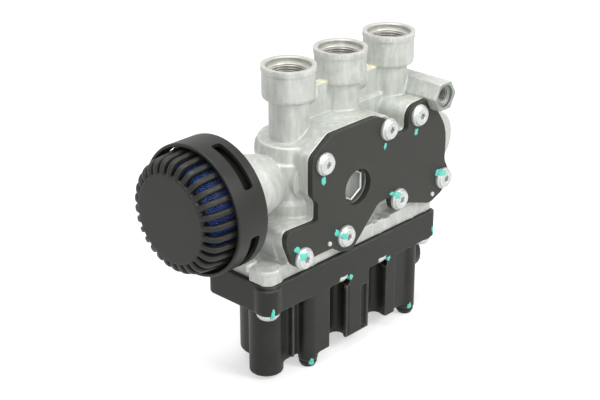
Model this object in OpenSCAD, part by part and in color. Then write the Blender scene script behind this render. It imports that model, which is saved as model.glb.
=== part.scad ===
// Electro-pneumatic valve block. A cast body carries three upward ports and one side
// port, a cover plate closes its front, a housing below holds three solenoids, and a
// slatted silencer sits on its left end. The x axis follows the port row to the right,
// y points from the cover plate to the back, and z is up from the ground.

/* [Ports] */
// Distance between neighbouring upward ports
port_pitch = 45; // [44:0.5:46]
// Height of the port faces above the body's lower face
port_h = 119.8; // [114:0.5:130]
// Core diameter of the port thread
port_bore_d = 20.4; // [16:0.1:21.5]
// Length of the port thread
port_bore_l = 14; // [10:0.5:15]
// Diameter of the sealing mouth
port_mouth_d = 27; // [23:0.5:29]
// Depth of the sealing mouth
port_mouth_h = 3; // [1:0.25:4]
// Diameter of the port collars
collar_d = 32; // [30.5:0.5:34]
// Height of the port collars
collar_h = 20.5; // [18:0.5:24]
// How far the lip stands out from the collar
lip_out = 0.5; // [0.2:0.1:1]
// Height of the lip
lip_h = 3.5; // [2:0.5:5]
// Diameter of the stems below the collars
stem_d = 24; // [20:0.5:27]
// Diameter of the air channel in each stem
channel_d = 11; // [6:0.5:13]
// Width across flats of the side port
side_port_af = 17.8; // [16:0.2:20]
// Core diameter of the side port's thread
side_port_bore_d = 10.4; // [8:0.1:12]
// Length of the side port's thread
side_port_bore_l = 14; // [8:0.5:18]
// Side port axis, to the right of the right port
side_port_x = 12.3; // [8:0.1:13]
// Side port axis above the body's lower face
side_port_h = 81.8; // [79:0.5:84]
// How far the side port stands in front of the port row
side_port_out = 37; // [33:0.5:39]

/* [Body] */
// Distance from the port row to the machined front face
body_front = 26; // [25:0.5:28]
// Distance from the port row to the machined rear pads
body_back = 24; // [22:0.5:28]
// Thickness of the base flange
base_t = 9.5; // [8:0.5:12]
// Height of the deck that carries the middle and right stems
deck_h = 82.5; // [81.5:0.5:84]
// Height of the ledge around the left stem
ledge_h = 74.3; // [72:0.5:76]
// Diameter of the ledge around the left stem
ledge_d = 37; // [34:0.5:38]
// Depth of the front rim that follows the cover's outline
rim_depth = 9; // [7:0.5:12]
// Diameter of the exhaust neck
neck_d = 40; // [38:0.5:44]
// Bore of the exhaust neck
neck_bore_d = 31; // [28:0.5:33]
// Depth of the exhaust neck's bore
neck_bore_l = 30; // [26:0.5:34]
// Height of the exhaust neck above the body's lower face
neck_h = 52.5; // [50:0.5:55]
// Diameter of the casting's bosses around the cover screws
boss_d = 15; // [13:0.5:16]
// Pitch of the rear mounting threads
rear_pitch = 80; // [76:1:86]
// Core diameter of the rear mounting threads
rear_bore_d = 6.8; // [5:0.1:8.4]
// Length of the rear mounting threads
rear_bore_l = 12; // [8:0.5:13]

/* [Pistons] */
// Diameter of the piston bores
bore_d = 20; // [17:0.5:21]
// Depth of the piston bores behind the machined face
bore_l = 36; // [34:0.5:38]
// Radial running gap of the pistons
piston_gap = 0.04; // [0.02:0.01:0.08]
// Length of the pistons
piston_l = 20; // [18:0.5:21]
// Travel of the pistons
piston_travel = 4; // [2:0.25:5]
// Thickness of the piston seals
piston_seal_d = 2; // [1.4:0.1:2.4]
// Wire of the piston springs
piston_wire_d = 1.2; // [0.8:0.1:1.5]
// Outer diameter of the piston springs
piston_spring_d = 13; // [11:0.5:14]

/* [Cover] */
// Thickness of the cover plate
cover_t = 3; // [2:0.25:4]
// Thickness of the cover's gasket
gasket_t = 1; // [0.6:0.1:1.5]
// Diameter of the window over the hexagon plug
window_d = 23; // [22:0.5:25]
// Diameter of the cover screws' heads
cover_head_d = 14; // [12:0.5:15]
// Height of the cover screws' heads
cover_head_h = 4; // [3:0.25:5]
// Thread diameter of the cover screws
cover_thread_d = 6; // [4:0.5:6.5]
// Length of the cover screws below the head
cover_screw_l = 16; // [14:0.5:18]
// Diameter of the locating pins
pin_d = 3; // [2:0.25:3.5]

/* [Hexagon plug] */
// Width across flats of the plug
plug_af = 18; // [15:0.5:18.5]
// Diameter of the plug's collar
plug_collar_d = 21.5; // [21.5:0.1:22]
// Thread diameter of the plug
plug_thread_d = 16; // [12:0.5:17]

/* [Housing] */
// Height of the solenoid housing
housing_h = 59.7; // [58.5:0.5:66]
// Height of the housing's flange
flange_h = 18; // [14:0.5:20]
// Flange from the port row to its left end
flange_left = 92.3; // [91.5:0.5:95]
// Flange from the port row to its right end
flange_right = 64; // [63:0.5:66]
// Flange from the port row to its front
flange_front = 28; // [27.5:0.25:30]
// Flange from the port row to its back
flange_back = 24; // [23.5:0.25:26]
// Depth of the housing's box from the port row to its front wall
box_front = 19.5; // [19:0.25:20]
// Thickness of the housing's floor
floor_t = 3; // [2:0.25:4]
// Diameter of the tall corner column
corner_d = 21; // [18:0.5:22]
// Height of the column screws' heads
foot_h = 4.5; // [3.5:0.5:6]
// How far the screw columns reach below the box
column_drop = 4; // [2:0.5:5]
// Diameter of the column screws' heads
foot_d = 11.4; // [9.5:0.2:12.5]
// Diameter of the flange screws' heads
flange_head_d = 14; // [12:0.5:15]
// Height of the flange screws' heads
flange_head_h = 4; // [3:0.25:5]
// Thickness of the seal between housing and body
seal_t = 1; // [0.6:0.1:1.5]

/* [Connector] */
// Outer diameter of the connector socket
socket_d = 25; // [22:0.5:27]
// Wall of the connector socket
socket_wall = 2; // [1.5:0.1:2.5]
// How far the socket stands out of the box
socket_l = 18; // [15:0.5:24]
// Diameter of the contact pins
contact_d = 1.6; // [1:0.1:2.4]

/* [Solenoids] */
// Distance between neighbouring solenoids
coil_pitch = 46; // [45:0.25:46.5]
// Middle solenoid, to the left of the middle port
coil_x = 15; // [14:0.5:15.5]
// Diameter of the steel can
can_d = 30.4; // [28:0.2:30.6]
// Wall of the steel can
can_t = 1.6; // [1:0.1:2]
// Inner diameter of the guide tube
tube_id = 13.4; // [11:0.2:13.6]
// Wall of the guide tube
tube_t = 0.7; // [0.5:0.1:0.9]
// Radial gap around the armature
armature_gap = 0.1; // [0.05:0.01:0.15]
// Length of the armature
armature_l = 22; // [18:0.5:24]
// Travel of the armature
armature_travel = 1.2; // [0.6:0.1:2]
// Wire of the armature springs
armature_wire_d = 0.7; // [0.5:0.05:0.9]
// Outer diameter of the armature springs
armature_spring_d = 6; // [5:0.25:7]

/* [Silencer] */
// Outer diameter of the shroud
shroud_d = 79; // [74:0.5:84]
// Width of the shroud
shroud_w = 22.8; // [20:0.5:26]
// Wall of the shroud
shroud_t = 2.2; // [1.6:0.1:3]
// Gap between the flange's left end and the shroud's back
shroud_gap = 9.5; // [9:0.5:13]
// Width of the shroud's slots
shroud_slot_w = 6.8; // [4:0.2:8]
// Start angle of the first shroud slot
shroud_slot_a = 30; // [20:1:36]
// Length of a shroud slot in degrees
shroud_slot_len = 49; // [30:1:60]
// Diameter of the flat front disc
disc_d = 53; // [46:0.5:55]
// How far the front disc stands in front of the shroud's mouth
basket_out = 16.1; // [14:0.5:20]
// Number of slats
slats = 30; // [20:1:36]
// Width of a slat
slat_w = 3.6; // [3:0.1:3.8]
// Gap between the basket and the shroud's wall
basket_gap = 1.3; // [1:0.1:3]
// Thickness of the basket's wall and slats
slat_t = 3.4; // [2.5:0.1:4]

/* [Hidden] */
$fn = 64;
eps = 0.02;

// Small gap between pieces that are pushed or screwed together
snug = 0.02;
// Loose gap around screws in through holes
loose = 0.3;

// Levels, from the ground up
housing_z = foot_h + column_drop;
corner_z = foot_h - 2;
flange_z = housing_z + housing_h - flange_h;
seal_z = housing_z + housing_h;
body_z = seal_z + seal_t;
deck_z = body_z + deck_h;
ledge_z = body_z + ledge_h;
port_z = body_z + port_h;
axis_z = body_z + neck_h;

// Depths, from the cover to the back
face_y = -body_front;
cover_y = face_y - gasket_t - cover_t;

// Left column: its foot, the ring above it, the column and the ledge on top
foot_r = body_front - 0.5;
ring_r = ledge_d / 2 + 2.9;
ring_h = 38;
column_r = ledge_d / 2 + 1.5;
ledge_t = 10.5;

// Exhaust neck: its straight part, then the dome that narrows to its waist
neck_straight = 27;
neck_dome = 13.3;
waist_r = neck_d / 2 - 9.5;

// Depths of the two layers behind the front rim
upper_back = -4;
block_back = 17;

// Boss in front of the left column
left_boss_x = -46;
left_boss_d = 26.6;

// Bosses beside the collars, above the webs between the stems
web_drop = [22, 25];
web_boss_d = 12;
web_boss_out = 3;

// Ends of the block and of the silencer along x
neck_x = -flange_left - shroud_gap;
mouth_x = neck_x - shroud_w;
disc_x = mouth_x - basket_out;
side_boss_d = 38;
side_boss_x = 62;
side_boss_h = 48;
mid_x = (disc_x + side_boss_x + side_boss_d / 2) / 2;

// Base flange of the body, which stays inside the housing's flange
base_left = -flange_left + 1;
base_front = body_front - 0.4;
lug_out = 1.9;
lug_w = 7;
seal_inset = 2.4;
seal_sink = 0.1;

// Pocket in the front of the body's foot
foot_pocket_x = 4;
foot_pocket_w = 17;
foot_pocket_h = 10;
foot_pocket_depth = 7;

// Places on the front face, each across and above the body's lower face
cover_screw_at = [
    [-46.5, 66.1], [10.4, 71.6], [39.5, 72.6], [66.4, 22.1], [22.1, 21.7],
    [-27.5, 13.2], [-64.5, 11.5]];
pin_at = [[-41.6, 12.8], [56.2, 13.9]];
piston_at = [[-41, 43], [14, 44.8], [52, 45.8]];
plug_at = [-16, 41.6];
rear_thread_h = 63;

// Cover outline: across, above the body's lower face, corner radius
cover_corners = [
    [-56.2, 71.8, 6], [-40, 82.2, 7], [1.5, 82.4, 20], [19.4, 72.4, 7],
    [18.2, 65.2, 2], [30.4, 64.7, 2.5], [30.6, 79.6, 8], [52, 80.6, 10],
    [68.8, 56, 26], [68.2, 34, 8], [75.4, 21, 8], [66, 12.4, 8],
    [54.5, 8, 9], [33, 15.2, 5], [17, 14.4, 5.5], [14.6, 25.2, 3],
    [3.5, 25, 8], [-20.8, 1.2, 6], [-31, 3.4, 6], [-38.5, 8.7, 6],
    [-55, 8.8, 10], [-70, 4.4, 8], [-78.4, 24, 12], [-77.6, 31.6, 3.5],
    [-51.4, 30.6, 2.5], [-51.4, 42.5, 5], [-56.3, 48, 5]];

// Outline of the layer behind the front rim: the cover's upper and left edges, down to the base
upper_corners = concat(
    [for (k = [22:26]) cover_corners[k]], [for (k = [0:7]) cover_corners[k]],
    [[63, 62, 8], [63, 0, 1], [-72, 0, 1]]);

// Outline of the casting behind that layer
block_corners = [
    [-57, 0, 1], [-57, 73.8, 3], [-27, 73.8, 3], [-27, deck_h, 3],
    [57.5, deck_h, 5], [63, 62, 8], [63, 0, 1]];

// Screw places seen from above, each across and back
flange_screw_at = [
    [-85.5, -21.5], [-25, -21.5], [11.5, -21.5], [56, -21.5], [-85.5, 16.5], [56, 16.5]];
column_screw_at = [[-51.3, -21.8], [42.3, -21.8], [-38, 17], [8, 17]];
column_screw_l = column_drop + housing_h + seal_t + base_t - 1.5;
corner_at = [-76, -10.2];
column_d = foot_d + 1;
flange_screw_l = flange_h + seal_t + base_t - 2;
driver_d = 9;
notch_d = flange_head_d + 1;
notch_h = 3;
pin_depth = 7;

// Solenoid stack
coil_at = [-coil_x - coil_pitch, -coil_x, -coil_x + coil_pitch];
pocket_d = can_d + 0.6;
can_z = housing_z + floor_t;
can_h = 50;
nozzle_h = 3;
nozzle_d = 5;
pilot_d = 2;
seat_gap = 0.05;
armature_top = body_z - nozzle_h - seat_gap;
armature_bottom = armature_top - armature_l;
core_top = armature_bottom - armature_travel - seat_gap;
tube_top = armature_top - 0.5;
spring_well = 12;

// Piston stack
piston_y = face_y + 0.5;
bore_end_y = face_y + bore_l;
piston_well_d = piston_spring_d + 1;
piston_well_l = 9;

// Hexagon plug and check valve behind it
plug_floor_y = face_y + 6;
plug_seal_t = 1;
plug_collar_t = 1.5;
plug_face_y = face_y + 1.5;
plug_end_y = face_y + 18;
plug_well_d = 9;
plug_well_l = 6;
chamber_end_y = face_y + 32;
check_travel = 3;

// Connector
box_left = -coil_x - coil_pitch - can_d / 2 - 2.3;
box_right = -coil_x + coil_pitch + can_d / 2 + 4;
box_back = 19.5;
socket_y = -1.5;
socket_z = housing_z + 22;
socket_seal_w = 2.5;

// Points of a polygon with its corners [x, y, radius] turned into arcs
function turn(a, b) = (b - a + 540) % 360 - 180;
function arc_at(p, c, n) =
    let (u = p / norm(p), v = n / norm(n),
         half = acos(u * v) / 2,
         m = [c[0], c[1]] + (u + v) / norm(u + v) * c[2] / sin(half),
         s = [c[0], c[1]] + u * c[2] / tan(half) - m,
         e = [c[0], c[1]] + v * c[2] / tan(half) - m,
         from = atan2(s[1], s[0]),
         by = turn(from, atan2(e[1], e[0])),
         steps = max(1, ceil(abs(by) / 12)))
    [for (k = [0:steps]) m + c[2] * [cos(from + by * k / steps), sin(from + by * k / steps)]];
function flat(c) = [c[0], c[1]];
function rounded(corners) =
    let (n = len(corners))
    [for (k = [0:n - 1])
        each arc_at(flat(corners[(k + n - 1) % n]) - flat(corners[k]), corners[k],
                    flat(corners[(k + 1) % n]) - flat(corners[k]))];
function lifted(points) = [for (p = points) [p[0], p[1] + body_z]];

// Frame and simple shapes along one axis
module place() {
    translate([-mid_x, 0, 0]) children();
}

module rod_x(x, y, z, d, l) {
    translate([x, y, z]) rotate([0, 90, 0]) cylinder(d = d, h = l);
}

module rod_y(x, y, z, d, l) {
    translate([x, y, z]) rotate([-90, 0, 0]) cylinder(d = d, h = l);
}

module rod_z(x, y, z, d, l) {
    translate([x, y, z]) cylinder(d = d, h = l);
}

module plate_y(points, y, l) {
    translate([0, y + l, 0]) rotate([90, 0, 0]) linear_extrude(l) polygon(points);
}

module plate_z(points, z, l) {
    translate([0, 0, z]) linear_extrude(l) polygon(points);
}

module hexagon(af, l) {
    cylinder(d = af / cos(30), h = l, $fn = 6);
}

module tube(d, inner, l) {
    difference() {
        cylinder(d = d, h = l);
        translate([0, 0, -1]) cylinder(d = inner, h = l + 2);
    }
}

// A round wire wound upward, with flat-lying turns at both ends
module coil_spring(d, wire, l, turns) {
    sides = 6;
    per_turn = 16;
    rings = turns * per_turn;
    r = (d - wire) / 2;
    function rise(k) =
        let (t = k / per_turn, free = turns - 2)
        wire / 2 + (l - wire) * (min(max(t - 1, 0), free) / free * 0.86 + min(t, 1) * 0.07
            + max(t - turns + 1, 0) * 0.07);
    points = [
        for (k = [0:rings], s = [0:sides - 1])
            let (a = 360 * k / per_turn, b = 360 * s / sides, q = r + wire / 2 * cos(b))
            [q * cos(a), q * sin(a), rise(k) + wire / 2 * sin(b)]];
    walls = [
        for (k = [0:rings - 1], s = [0:sides - 1])
            let (t = (s + 1) % sides)
            [k * sides + s, (k + 1) * sides + s, (k + 1) * sides + t, k * sides + t]];
    ends = [[for (s = [0:sides - 1]) s], [for (s = [sides - 1:-1:0]) rings * sides + s]];
    polyhedron(points, concat(walls, ends));
}

// Six-lobed driver recess, opening downward at the origin
module star_recess(d, depth) {
    translate([0, 0, -eps]) {
        cylinder(d = d * 0.72, h = depth + eps);
        for (a = [0:60:300]) {
            rotate([0, 0, a]) translate([d * 0.36, 0, 0]) cylinder(d = d * 0.28, h = depth + eps, $fn = 24);
        }
    }
}

// Flanged screw: the head hangs below the origin, the shank points up
module flange_screw(head, head_h, thread, l) {
    difference() {
        rotate_extrude() polygon([
            [0, -head_h], [head * 0.34, -head_h], [head * 0.41, -head_h * 0.82],
            [head * 0.44, -head_h * 0.4], [head / 2 - 0.3, -head_h * 0.28],
            [head / 2, -head_h * 0.2], [head / 2, 0], [thread / 2, 0],
            [thread / 2, l - 0.6], [thread / 2 - 0.6, l], [0, l]]);
        translate([0, 0, -head_h]) star_recess(head * 0.42, head_h * 0.6);
    }
}

// Valve body
function collar_profile() =
    let (r = collar_d / 2, o = r + lip_out)
    [[0, -collar_h], [r - 2, -collar_h], [r - 0.6, -collar_h + 0.6], [r, -collar_h + 2],
     [r, -lip_h - 0.6], [o, -lip_h], [o, -0.6], [o - 0.6, 0], [0, 0]];

module port_tower(x) {
    translate([x, 0, port_z]) rotate_extrude() polygon(collar_profile());
    rod_z(x, 0, body_z + 20, stem_d, port_h - 20 - collar_h + 1);
}

module port_bore(x, down_to) {
    rod_z(x, 0, port_z - port_mouth_h, port_mouth_d, port_mouth_h + 1);
    rod_z(x, 0, port_z - port_mouth_h - port_bore_l, port_bore_d, port_bore_l + 1);
    rod_z(x, 0, down_to, channel_d, port_z - port_mouth_h - port_bore_l - down_to + 1);
}

module left_column() {
    translate([-port_pitch, 0, body_z + 1]) rotate_extrude() polygon([
        [0, 0], [foot_r, 0], [foot_r, base_t], [foot_r - 4, base_t + 5], [ring_r, base_t + 9],
        [ring_r, ring_h], [ring_r - 0.7, ring_h + 0.6], [ring_r - 0.7, ring_h + 1.6],
        [column_r, ring_h + 2], [column_r, ledge_h - ledge_t - 1.4], [column_r - 0.4, ledge_h - ledge_t - 1],
        [ledge_d / 2, ledge_h - ledge_t - 1], [ledge_d / 2, ledge_h - 1.5],
        [ledge_d / 2 - 0.5, ledge_h - 1], [0, ledge_h - 1]]);
}

module exhaust_neck() {
    translate([neck_x, 0, axis_z]) rotate([0, 90, 0]) rotate_extrude() polygon([
        [0, 0], [neck_d / 2, 0], [neck_d / 2, neck_straight],
        [neck_d / 2 - 0.6, neck_straight + 4], [neck_d / 2 - 2.5, neck_straight + 8],
        [neck_d / 2 - 5, neck_straight + neck_dome - 2.7], [waist_r + 0.8, neck_straight + neck_dome],
        [waist_r, neck_straight + neck_dome + 2.7], [waist_r, -port_pitch - neck_x],
        [0, -port_pitch - neck_x]]);
}

module base_slab() {
    plate_z(rounded([
        [base_left, -flange_front + 0.8, 6], [base_left + 11.3, -flange_front + 0.8, 5],
        [base_left + 15.3, -base_front, 4], [flange_right - 1.5, -base_front, 3],
        [flange_right - 1.5, flange_back - 2, 5], [base_left, flange_back - 2, 5]]),
        body_z, base_t);
    translate([base_left - lug_out, -12, body_z + base_t - 3.5]) cube([lug_out + 7, lug_w, 5]);
}

module body_solid() {
    base_slab();
    plate_y(lifted(rounded(cover_corners)), face_y, rim_depth);
    plate_y(lifted(rounded(upper_corners)), face_y + rim_depth - 1, upper_back - face_y - rim_depth + 1);
    plate_y(lifted(rounded(block_corners)), upper_back - 1, block_back - upper_back + 1);
    left_column();
    exhaust_neck();
    for (k = [-1:1]) {
        port_tower(k * port_pitch);
    }
    for (k = [0:1]) {
        rod_x((k - 1) * port_pitch, 0, port_z - web_drop[k], web_boss_d, collar_d / 2 + web_boss_out);
    }
    translate([-port_pitch, -3, ledge_z - 5]) cube([port_pitch, 6, port_h - web_drop[0] - ledge_h + 5]);
    translate([0, -3, deck_z - 5]) cube([port_pitch, 6, port_h - web_drop[1] - deck_h + 5]);
    translate([port_pitch + side_port_x, -side_port_out, body_z + side_port_h])
        rotate([-90, 0, 0]) hexagon(side_port_af, side_port_out + 5);
    for (p = cover_screw_at) {
        rod_y(p[0], face_y, body_z + p[1], boss_d, 24);
    }
    rod_y(left_boss_x, face_y + rim_depth - 1, axis_z, left_boss_d, 12);
    rod_y(side_boss_x, face_y + 1, body_z + side_boss_h, side_boss_d, 38);
    for (s = [-1, 1]) {
        rod_y(s * rear_pitch / 2, 8, body_z + rear_thread_h, 22, body_back - 8);
    }
    rod_y(0, 8, body_z + 22, 22, body_back - 8);
    for (x = coil_at) {
        rod_z(x, 0, body_z - nozzle_h, nozzle_d, nozzle_h + 1);
    }
}

module body_bores() {
    port_bore(-port_pitch, body_z + piston_at[0][1]);
    port_bore(0, body_z + piston_at[1][1] - 4);
    port_bore(port_pitch, body_z + piston_at[2][1]);
    rod_y(port_pitch + side_port_x, -side_port_out - 1, body_z + side_port_h,
        side_port_bore_d, side_port_bore_l + 1);
    rod_y(port_pitch + side_port_x, -side_port_out, body_z + side_port_h, 5, side_port_out + 2);
    rod_x(port_pitch, 0, body_z + side_port_h, 5, side_port_x);
    for (p = piston_at) {
        rod_y(p[0], face_y - 1, body_z + p[1], bore_d, bore_l + 1);
    }
    rod_y(plug_at[0], face_y - 1, body_z + plug_at[1], window_d + 2, plug_floor_y - face_y + 1);
    rod_y(plug_at[0], plug_floor_y - 1, body_z + plug_at[1],
        plug_thread_d + 2 * snug, plug_end_y - plug_floor_y + 2);
    rod_y(plug_at[0], plug_end_y, body_z + plug_at[1], 13, chamber_end_y - plug_end_y);
    rod_y(plug_at[0], chamber_end_y - 1, body_z + plug_at[1], 6, 6);
    rod_x(plug_at[0], chamber_end_y + 2, body_z + plug_at[1], 6, piston_at[1][0] - plug_at[0]);
    for (p = cover_screw_at) {
        rod_y(p[0], face_y - 1, body_z + p[1], cover_thread_d + 2 * snug,
            cover_screw_l - cover_t - gasket_t + 2);
    }
    for (p = pin_at) {
        rod_y(p[0], face_y - 1, body_z + p[1], pin_d + 2 * snug, pin_depth + 1);
    }
    for (p = concat(flange_screw_at, column_screw_at)) {
        rod_z(p[0], p[1], body_z - 1, cover_thread_d + 2 * snug, base_t + 1 + eps);
    }
    rod_x(neck_x - 1, 0, axis_z, neck_bore_d, neck_bore_l + 1);
    rod_x(neck_x + neck_bore_l - 1, 0, body_z + 45, 9, piston_at[0][0] - neck_x - neck_bore_l);
    for (s = [-1, 1]) {
        rod_y(s * rear_pitch / 2, body_back - rear_bore_l, body_z + rear_thread_h,
            rear_bore_d, rear_bore_l + 1);
    }
    rod_y(0, body_back - rear_bore_l, body_z + 22, rear_bore_d, rear_bore_l + 1);
    for (x = coil_at) {
        rod_z(x, 0, body_z - nozzle_h - 1, pilot_d, nozzle_h + 14);
    }
}

module valve_body() {
    place() color([0.78, 0.8, 0.77]) difference() {
        body_solid();
        body_bores();
        translate([foot_pocket_x, face_y - 5, body_z + base_t - 1])
            cube([foot_pocket_w, foot_pocket_depth + 5, foot_pocket_h + 1]);
    }
}

// Cover, gasket, their screws and pins
module cover_sheet(y, t, hole_gap) {
    difference() {
        plate_y(lifted(rounded(cover_corners)), y, t);
        for (p = cover_screw_at) {
            rod_y(p[0], y - 1, body_z + p[1], cover_thread_d + 2 * hole_gap, t + 2);
        }
        for (p = pin_at) {
            rod_y(p[0], y - 1, body_z + p[1], pin_d + 2 * snug, t + 2);
        }
        rod_y(plug_at[0], y - 1, body_z + plug_at[1], window_d, t + 2);
        translate([port_pitch + side_port_x, y - 1, body_z + side_port_h])
            rotate([-90, 0, 0]) hexagon(side_port_af + 1.2, t + 2);
    }
}

module cover_plate() {
    place() color([0.25, 0.25, 0.24]) cover_sheet(cover_y, cover_t, loose);
}

module cover_gasket() {
    place() color([0.12, 0.12, 0.12]) cover_sheet(cover_y + cover_t, gasket_t, loose);
}

module cover_screws() {
    place() color([0.85, 0.85, 0.86]) for (p = cover_screw_at) {
        translate([p[0], cover_y, body_z + p[1]]) rotate([-90, 0, 0])
            flange_screw(cover_head_d, cover_head_h, cover_thread_d, cover_screw_l);
    }
}

module locating_pins() {
    place() color([0.8, 0.8, 0.8]) for (p = pin_at) {
        rod_y(p[0], cover_y - 1.2, body_z + p[1], pin_d, cover_t + gasket_t + pin_depth);
    }
}

// Hexagon plug with its seal and the check valve behind it
module bore_plug() {
    place() color([0.72, 0.73, 0.72]) translate([plug_at[0], 0, body_z + plug_at[1]]) rotate([-90, 0, 0])
        difference() {
            union() {
                translate([0, 0, plug_face_y]) rotate([0, 0, 30])
                    hexagon(plug_af, plug_floor_y - plug_seal_t - plug_face_y);
                translate([0, 0, plug_floor_y - plug_seal_t - plug_collar_t])
                    cylinder(d = plug_collar_d, h = plug_collar_t);
                translate([0, 0, plug_floor_y - plug_seal_t])
                    cylinder(d = plug_thread_d, h = plug_end_y - plug_floor_y + plug_seal_t);
            }
            translate([0, 0, plug_end_y - plug_well_l]) cylinder(d = plug_well_d, h = plug_well_l + 1);
        }
}

module plug_seal() {
    place() color([0.1, 0.1, 0.1]) translate([plug_at[0], plug_floor_y - plug_seal_t, body_z + plug_at[1]])
        rotate([-90, 0, 0]) tube(plug_collar_d, plug_thread_d + 2 * snug, plug_seal_t);
}

module check_valve() {
    place() color([0.15, 0.15, 0.16]) translate([plug_at[0], chamber_end_y, body_z + plug_at[1]])
        rotate([90, 0, 0]) union() {
            translate([0, 0, seat_gap]) cylinder(d = 12, h = 2.5);
            cylinder(d = 4, h = 7);
        }
}

module check_spring() {
    place() color([0.7, 0.7, 0.72]) translate([plug_at[0], plug_end_y - plug_well_l, body_z + plug_at[1]])
        rotate([-90, 0, 0]) coil_spring(8, 0.8, chamber_end_y - plug_end_y + plug_well_l - seat_gap - 2.5, 7);
}

// Pistons with their seals and springs
module piston(k) {
    d = bore_d - 2 * piston_gap;
    groove = piston_seal_d + 0.4;
    place() color([0.6, 0.61, 0.6]) translate([piston_at[k][0], piston_y, body_z + piston_at[k][1]])
        rotate([-90, 0, 0]) difference() {
            cylinder(d = d, h = piston_l);
            for (y = [3, piston_l - 3 - groove]) {
                translate([0, 0, y]) tube(bore_d + 1, bore_d - 2 * piston_seal_d, groove);
            }
            translate([0, 0, piston_l - piston_well_l]) cylinder(d = piston_well_d, h = piston_well_l + 1);
        }
}

module piston_seals(k) {
    groove = piston_seal_d + 0.4;
    wire = piston_seal_d - 0.1;
    place() color([0.08, 0.08, 0.08]) translate([piston_at[k][0], piston_y, body_z + piston_at[k][1]])
        rotate([-90, 0, 0]) for (y = [3, piston_l - 3 - groove]) {
            translate([0, 0, y + groove / 2]) rotate_extrude()
                translate([bore_d / 2 - piston_gap - wire / 2 - 0.01, 0]) circle(d = wire, $fn = 32);
        }
}

module piston_spring(k) {
    from = piston_y + piston_l - piston_well_l;
    place() color([0.7, 0.7, 0.72]) translate([piston_at[k][0], from, body_z + piston_at[k][1]])
        rotate([-90, 0, 0]) coil_spring(piston_spring_d, piston_wire_d, bore_end_y - from, 7);
}

module piston_left() {
    piston(0);
}

module piston_middle() {
    piston(1);
}

module piston_right() {
    piston(2);
}

module piston_seals_left() {
    piston_seals(0);
}

module piston_seals_middle() {
    piston_seals(1);
}

module piston_seals_right() {
    piston_seals(2);
}

module piston_spring_left() {
    piston_spring(0);
}

module piston_spring_middle() {
    piston_spring(1);
}

module piston_spring_right() {
    piston_spring(2);
}

// Solenoid housing
flange_corners = [
    [-flange_left, -flange_front, 8], [flange_right, -flange_front, 3],
    [flange_right, flange_back, 5], [-flange_left, flange_back, 5]];
box_corners = [
    [box_left, -box_front, 3], [box_right, -box_front, 3], [box_right, box_back, 5],
    [box_left, box_back, 16]];

// Blocks on the front wall and slots in the middle one, each across and wide
front_block_at = [[-51.3, 13.3], [-23, 21.5], [15.2, 9.3]];
low_block = [24, 18];
low_block_in = 2.5;
short_slot = [-8.7, 4.8];
short_slot_depth = 2.5;
long_slot = [-21.6, 1.6];
long_slot_depth = 0.8;
slot_sill = 1.5;
short_slot_h = 32;
front_rib = [-67, 2];
corner_boss_d = 16;

module front_blocks() {
    h = flange_z - housing_z + 1;
    depth = flange_front - box_front + 2;
    for (b = front_block_at) {
        translate([b[0], -flange_front, housing_z]) cube([b[1], depth, h]);
    }
    translate([low_block[0], -flange_front + low_block_in, housing_z]) cube([low_block[1], depth, h]);
    translate([front_rib[0], -flange_front + 4, housing_z + 3]) cube([front_rib[1], depth, h - 3]);
}

module housing_solid() {
    h = flange_z - housing_z + 1;
    plate_z(rounded(flange_corners), flange_z, flange_h + seal_t - seal_sink);
    plate_z(rounded(box_corners), housing_z, h);
    front_blocks();
    for (p = column_screw_at) {
        rod_z(p[0], p[1], foot_h, column_d, h + column_drop);
    }
    rod_z(corner_at[0], corner_at[1], corner_z, corner_d, flange_z - corner_z + 1);
    rod_z(flange_screw_at[0][0], flange_screw_at[0][1], flange_z, corner_boss_d, flange_h - 1);
    rod_x(box_right - 4, socket_y, socket_z, socket_d, socket_l + 4);
}

module solenoid_housing() {
    place() color([0.2, 0.2, 0.19]) difference() {
        housing_solid();
        for (x = coil_at) {
            rod_z(x, 0, can_z, pocket_d, housing_h);
        }
        for (p = flange_screw_at) {
            rod_z(p[0], p[1], flange_z - flange_head_h - 1, flange_head_d + 1, flange_head_h + 1);
            rod_z(p[0], p[1], flange_z - 1, cover_thread_d + 2 * loose, flange_h + 2);
        }
        for (k = [1:2]) {
            rod_z(flange_screw_at[k][0], flange_screw_at[k][1], 0, driver_d, flange_z);
            rod_z(flange_screw_at[k][0], flange_screw_at[k][1], flange_z - 1, notch_d, notch_h + 1);
        }
        for (p = column_screw_at) {
            rod_z(p[0], p[1], -1, cover_thread_d + 2 * loose, seal_z + 2);
        }
        translate([short_slot[0], -flange_front - 1, housing_z + slot_sill])
            cube([short_slot[1], short_slot_depth + 1, short_slot_h - slot_sill]);
        translate([long_slot[0], -flange_front - 1, housing_z + slot_sill])
            cube([long_slot[1], long_slot_depth + 1, flange_z - housing_z - 2 * slot_sill]);
        plate_z(rounded(seal_outline(seal_inset - 0.1)), seal_z, seal_t + 1);
        rod_x(box_right, socket_y, socket_z, socket_d - 2 * socket_wall, socket_l + 1);
        contacts(snug);
    }
}

module contacts(gap) {
    for (a = [0:90:270]) {
        rod_x(box_right - 2, socket_y + 4 * cos(a), socket_z + 4 * sin(a), contact_d + 2 * gap, 10);
    }
}

module contact_pins() {
    place() color([0.8, 0.75, 0.5]) contacts(0);
}

module connector_seal() {
    inner = socket_d - 2 * socket_wall;
    place() color([0.75, 0.35, 0.15]) translate([box_right, socket_y, socket_z]) rotate([0, 90, 0])
        tube(inner - 2 * snug, inner - 2 * socket_seal_w, 2);
}

function seal_outline(in) = [
    [-flange_left + in, -flange_front + in, 7], [flange_right - in, -flange_front + in, 3],
    [flange_right - in, flange_back - in, 5], [-flange_left + in, flange_back - in, 5]];

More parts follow.
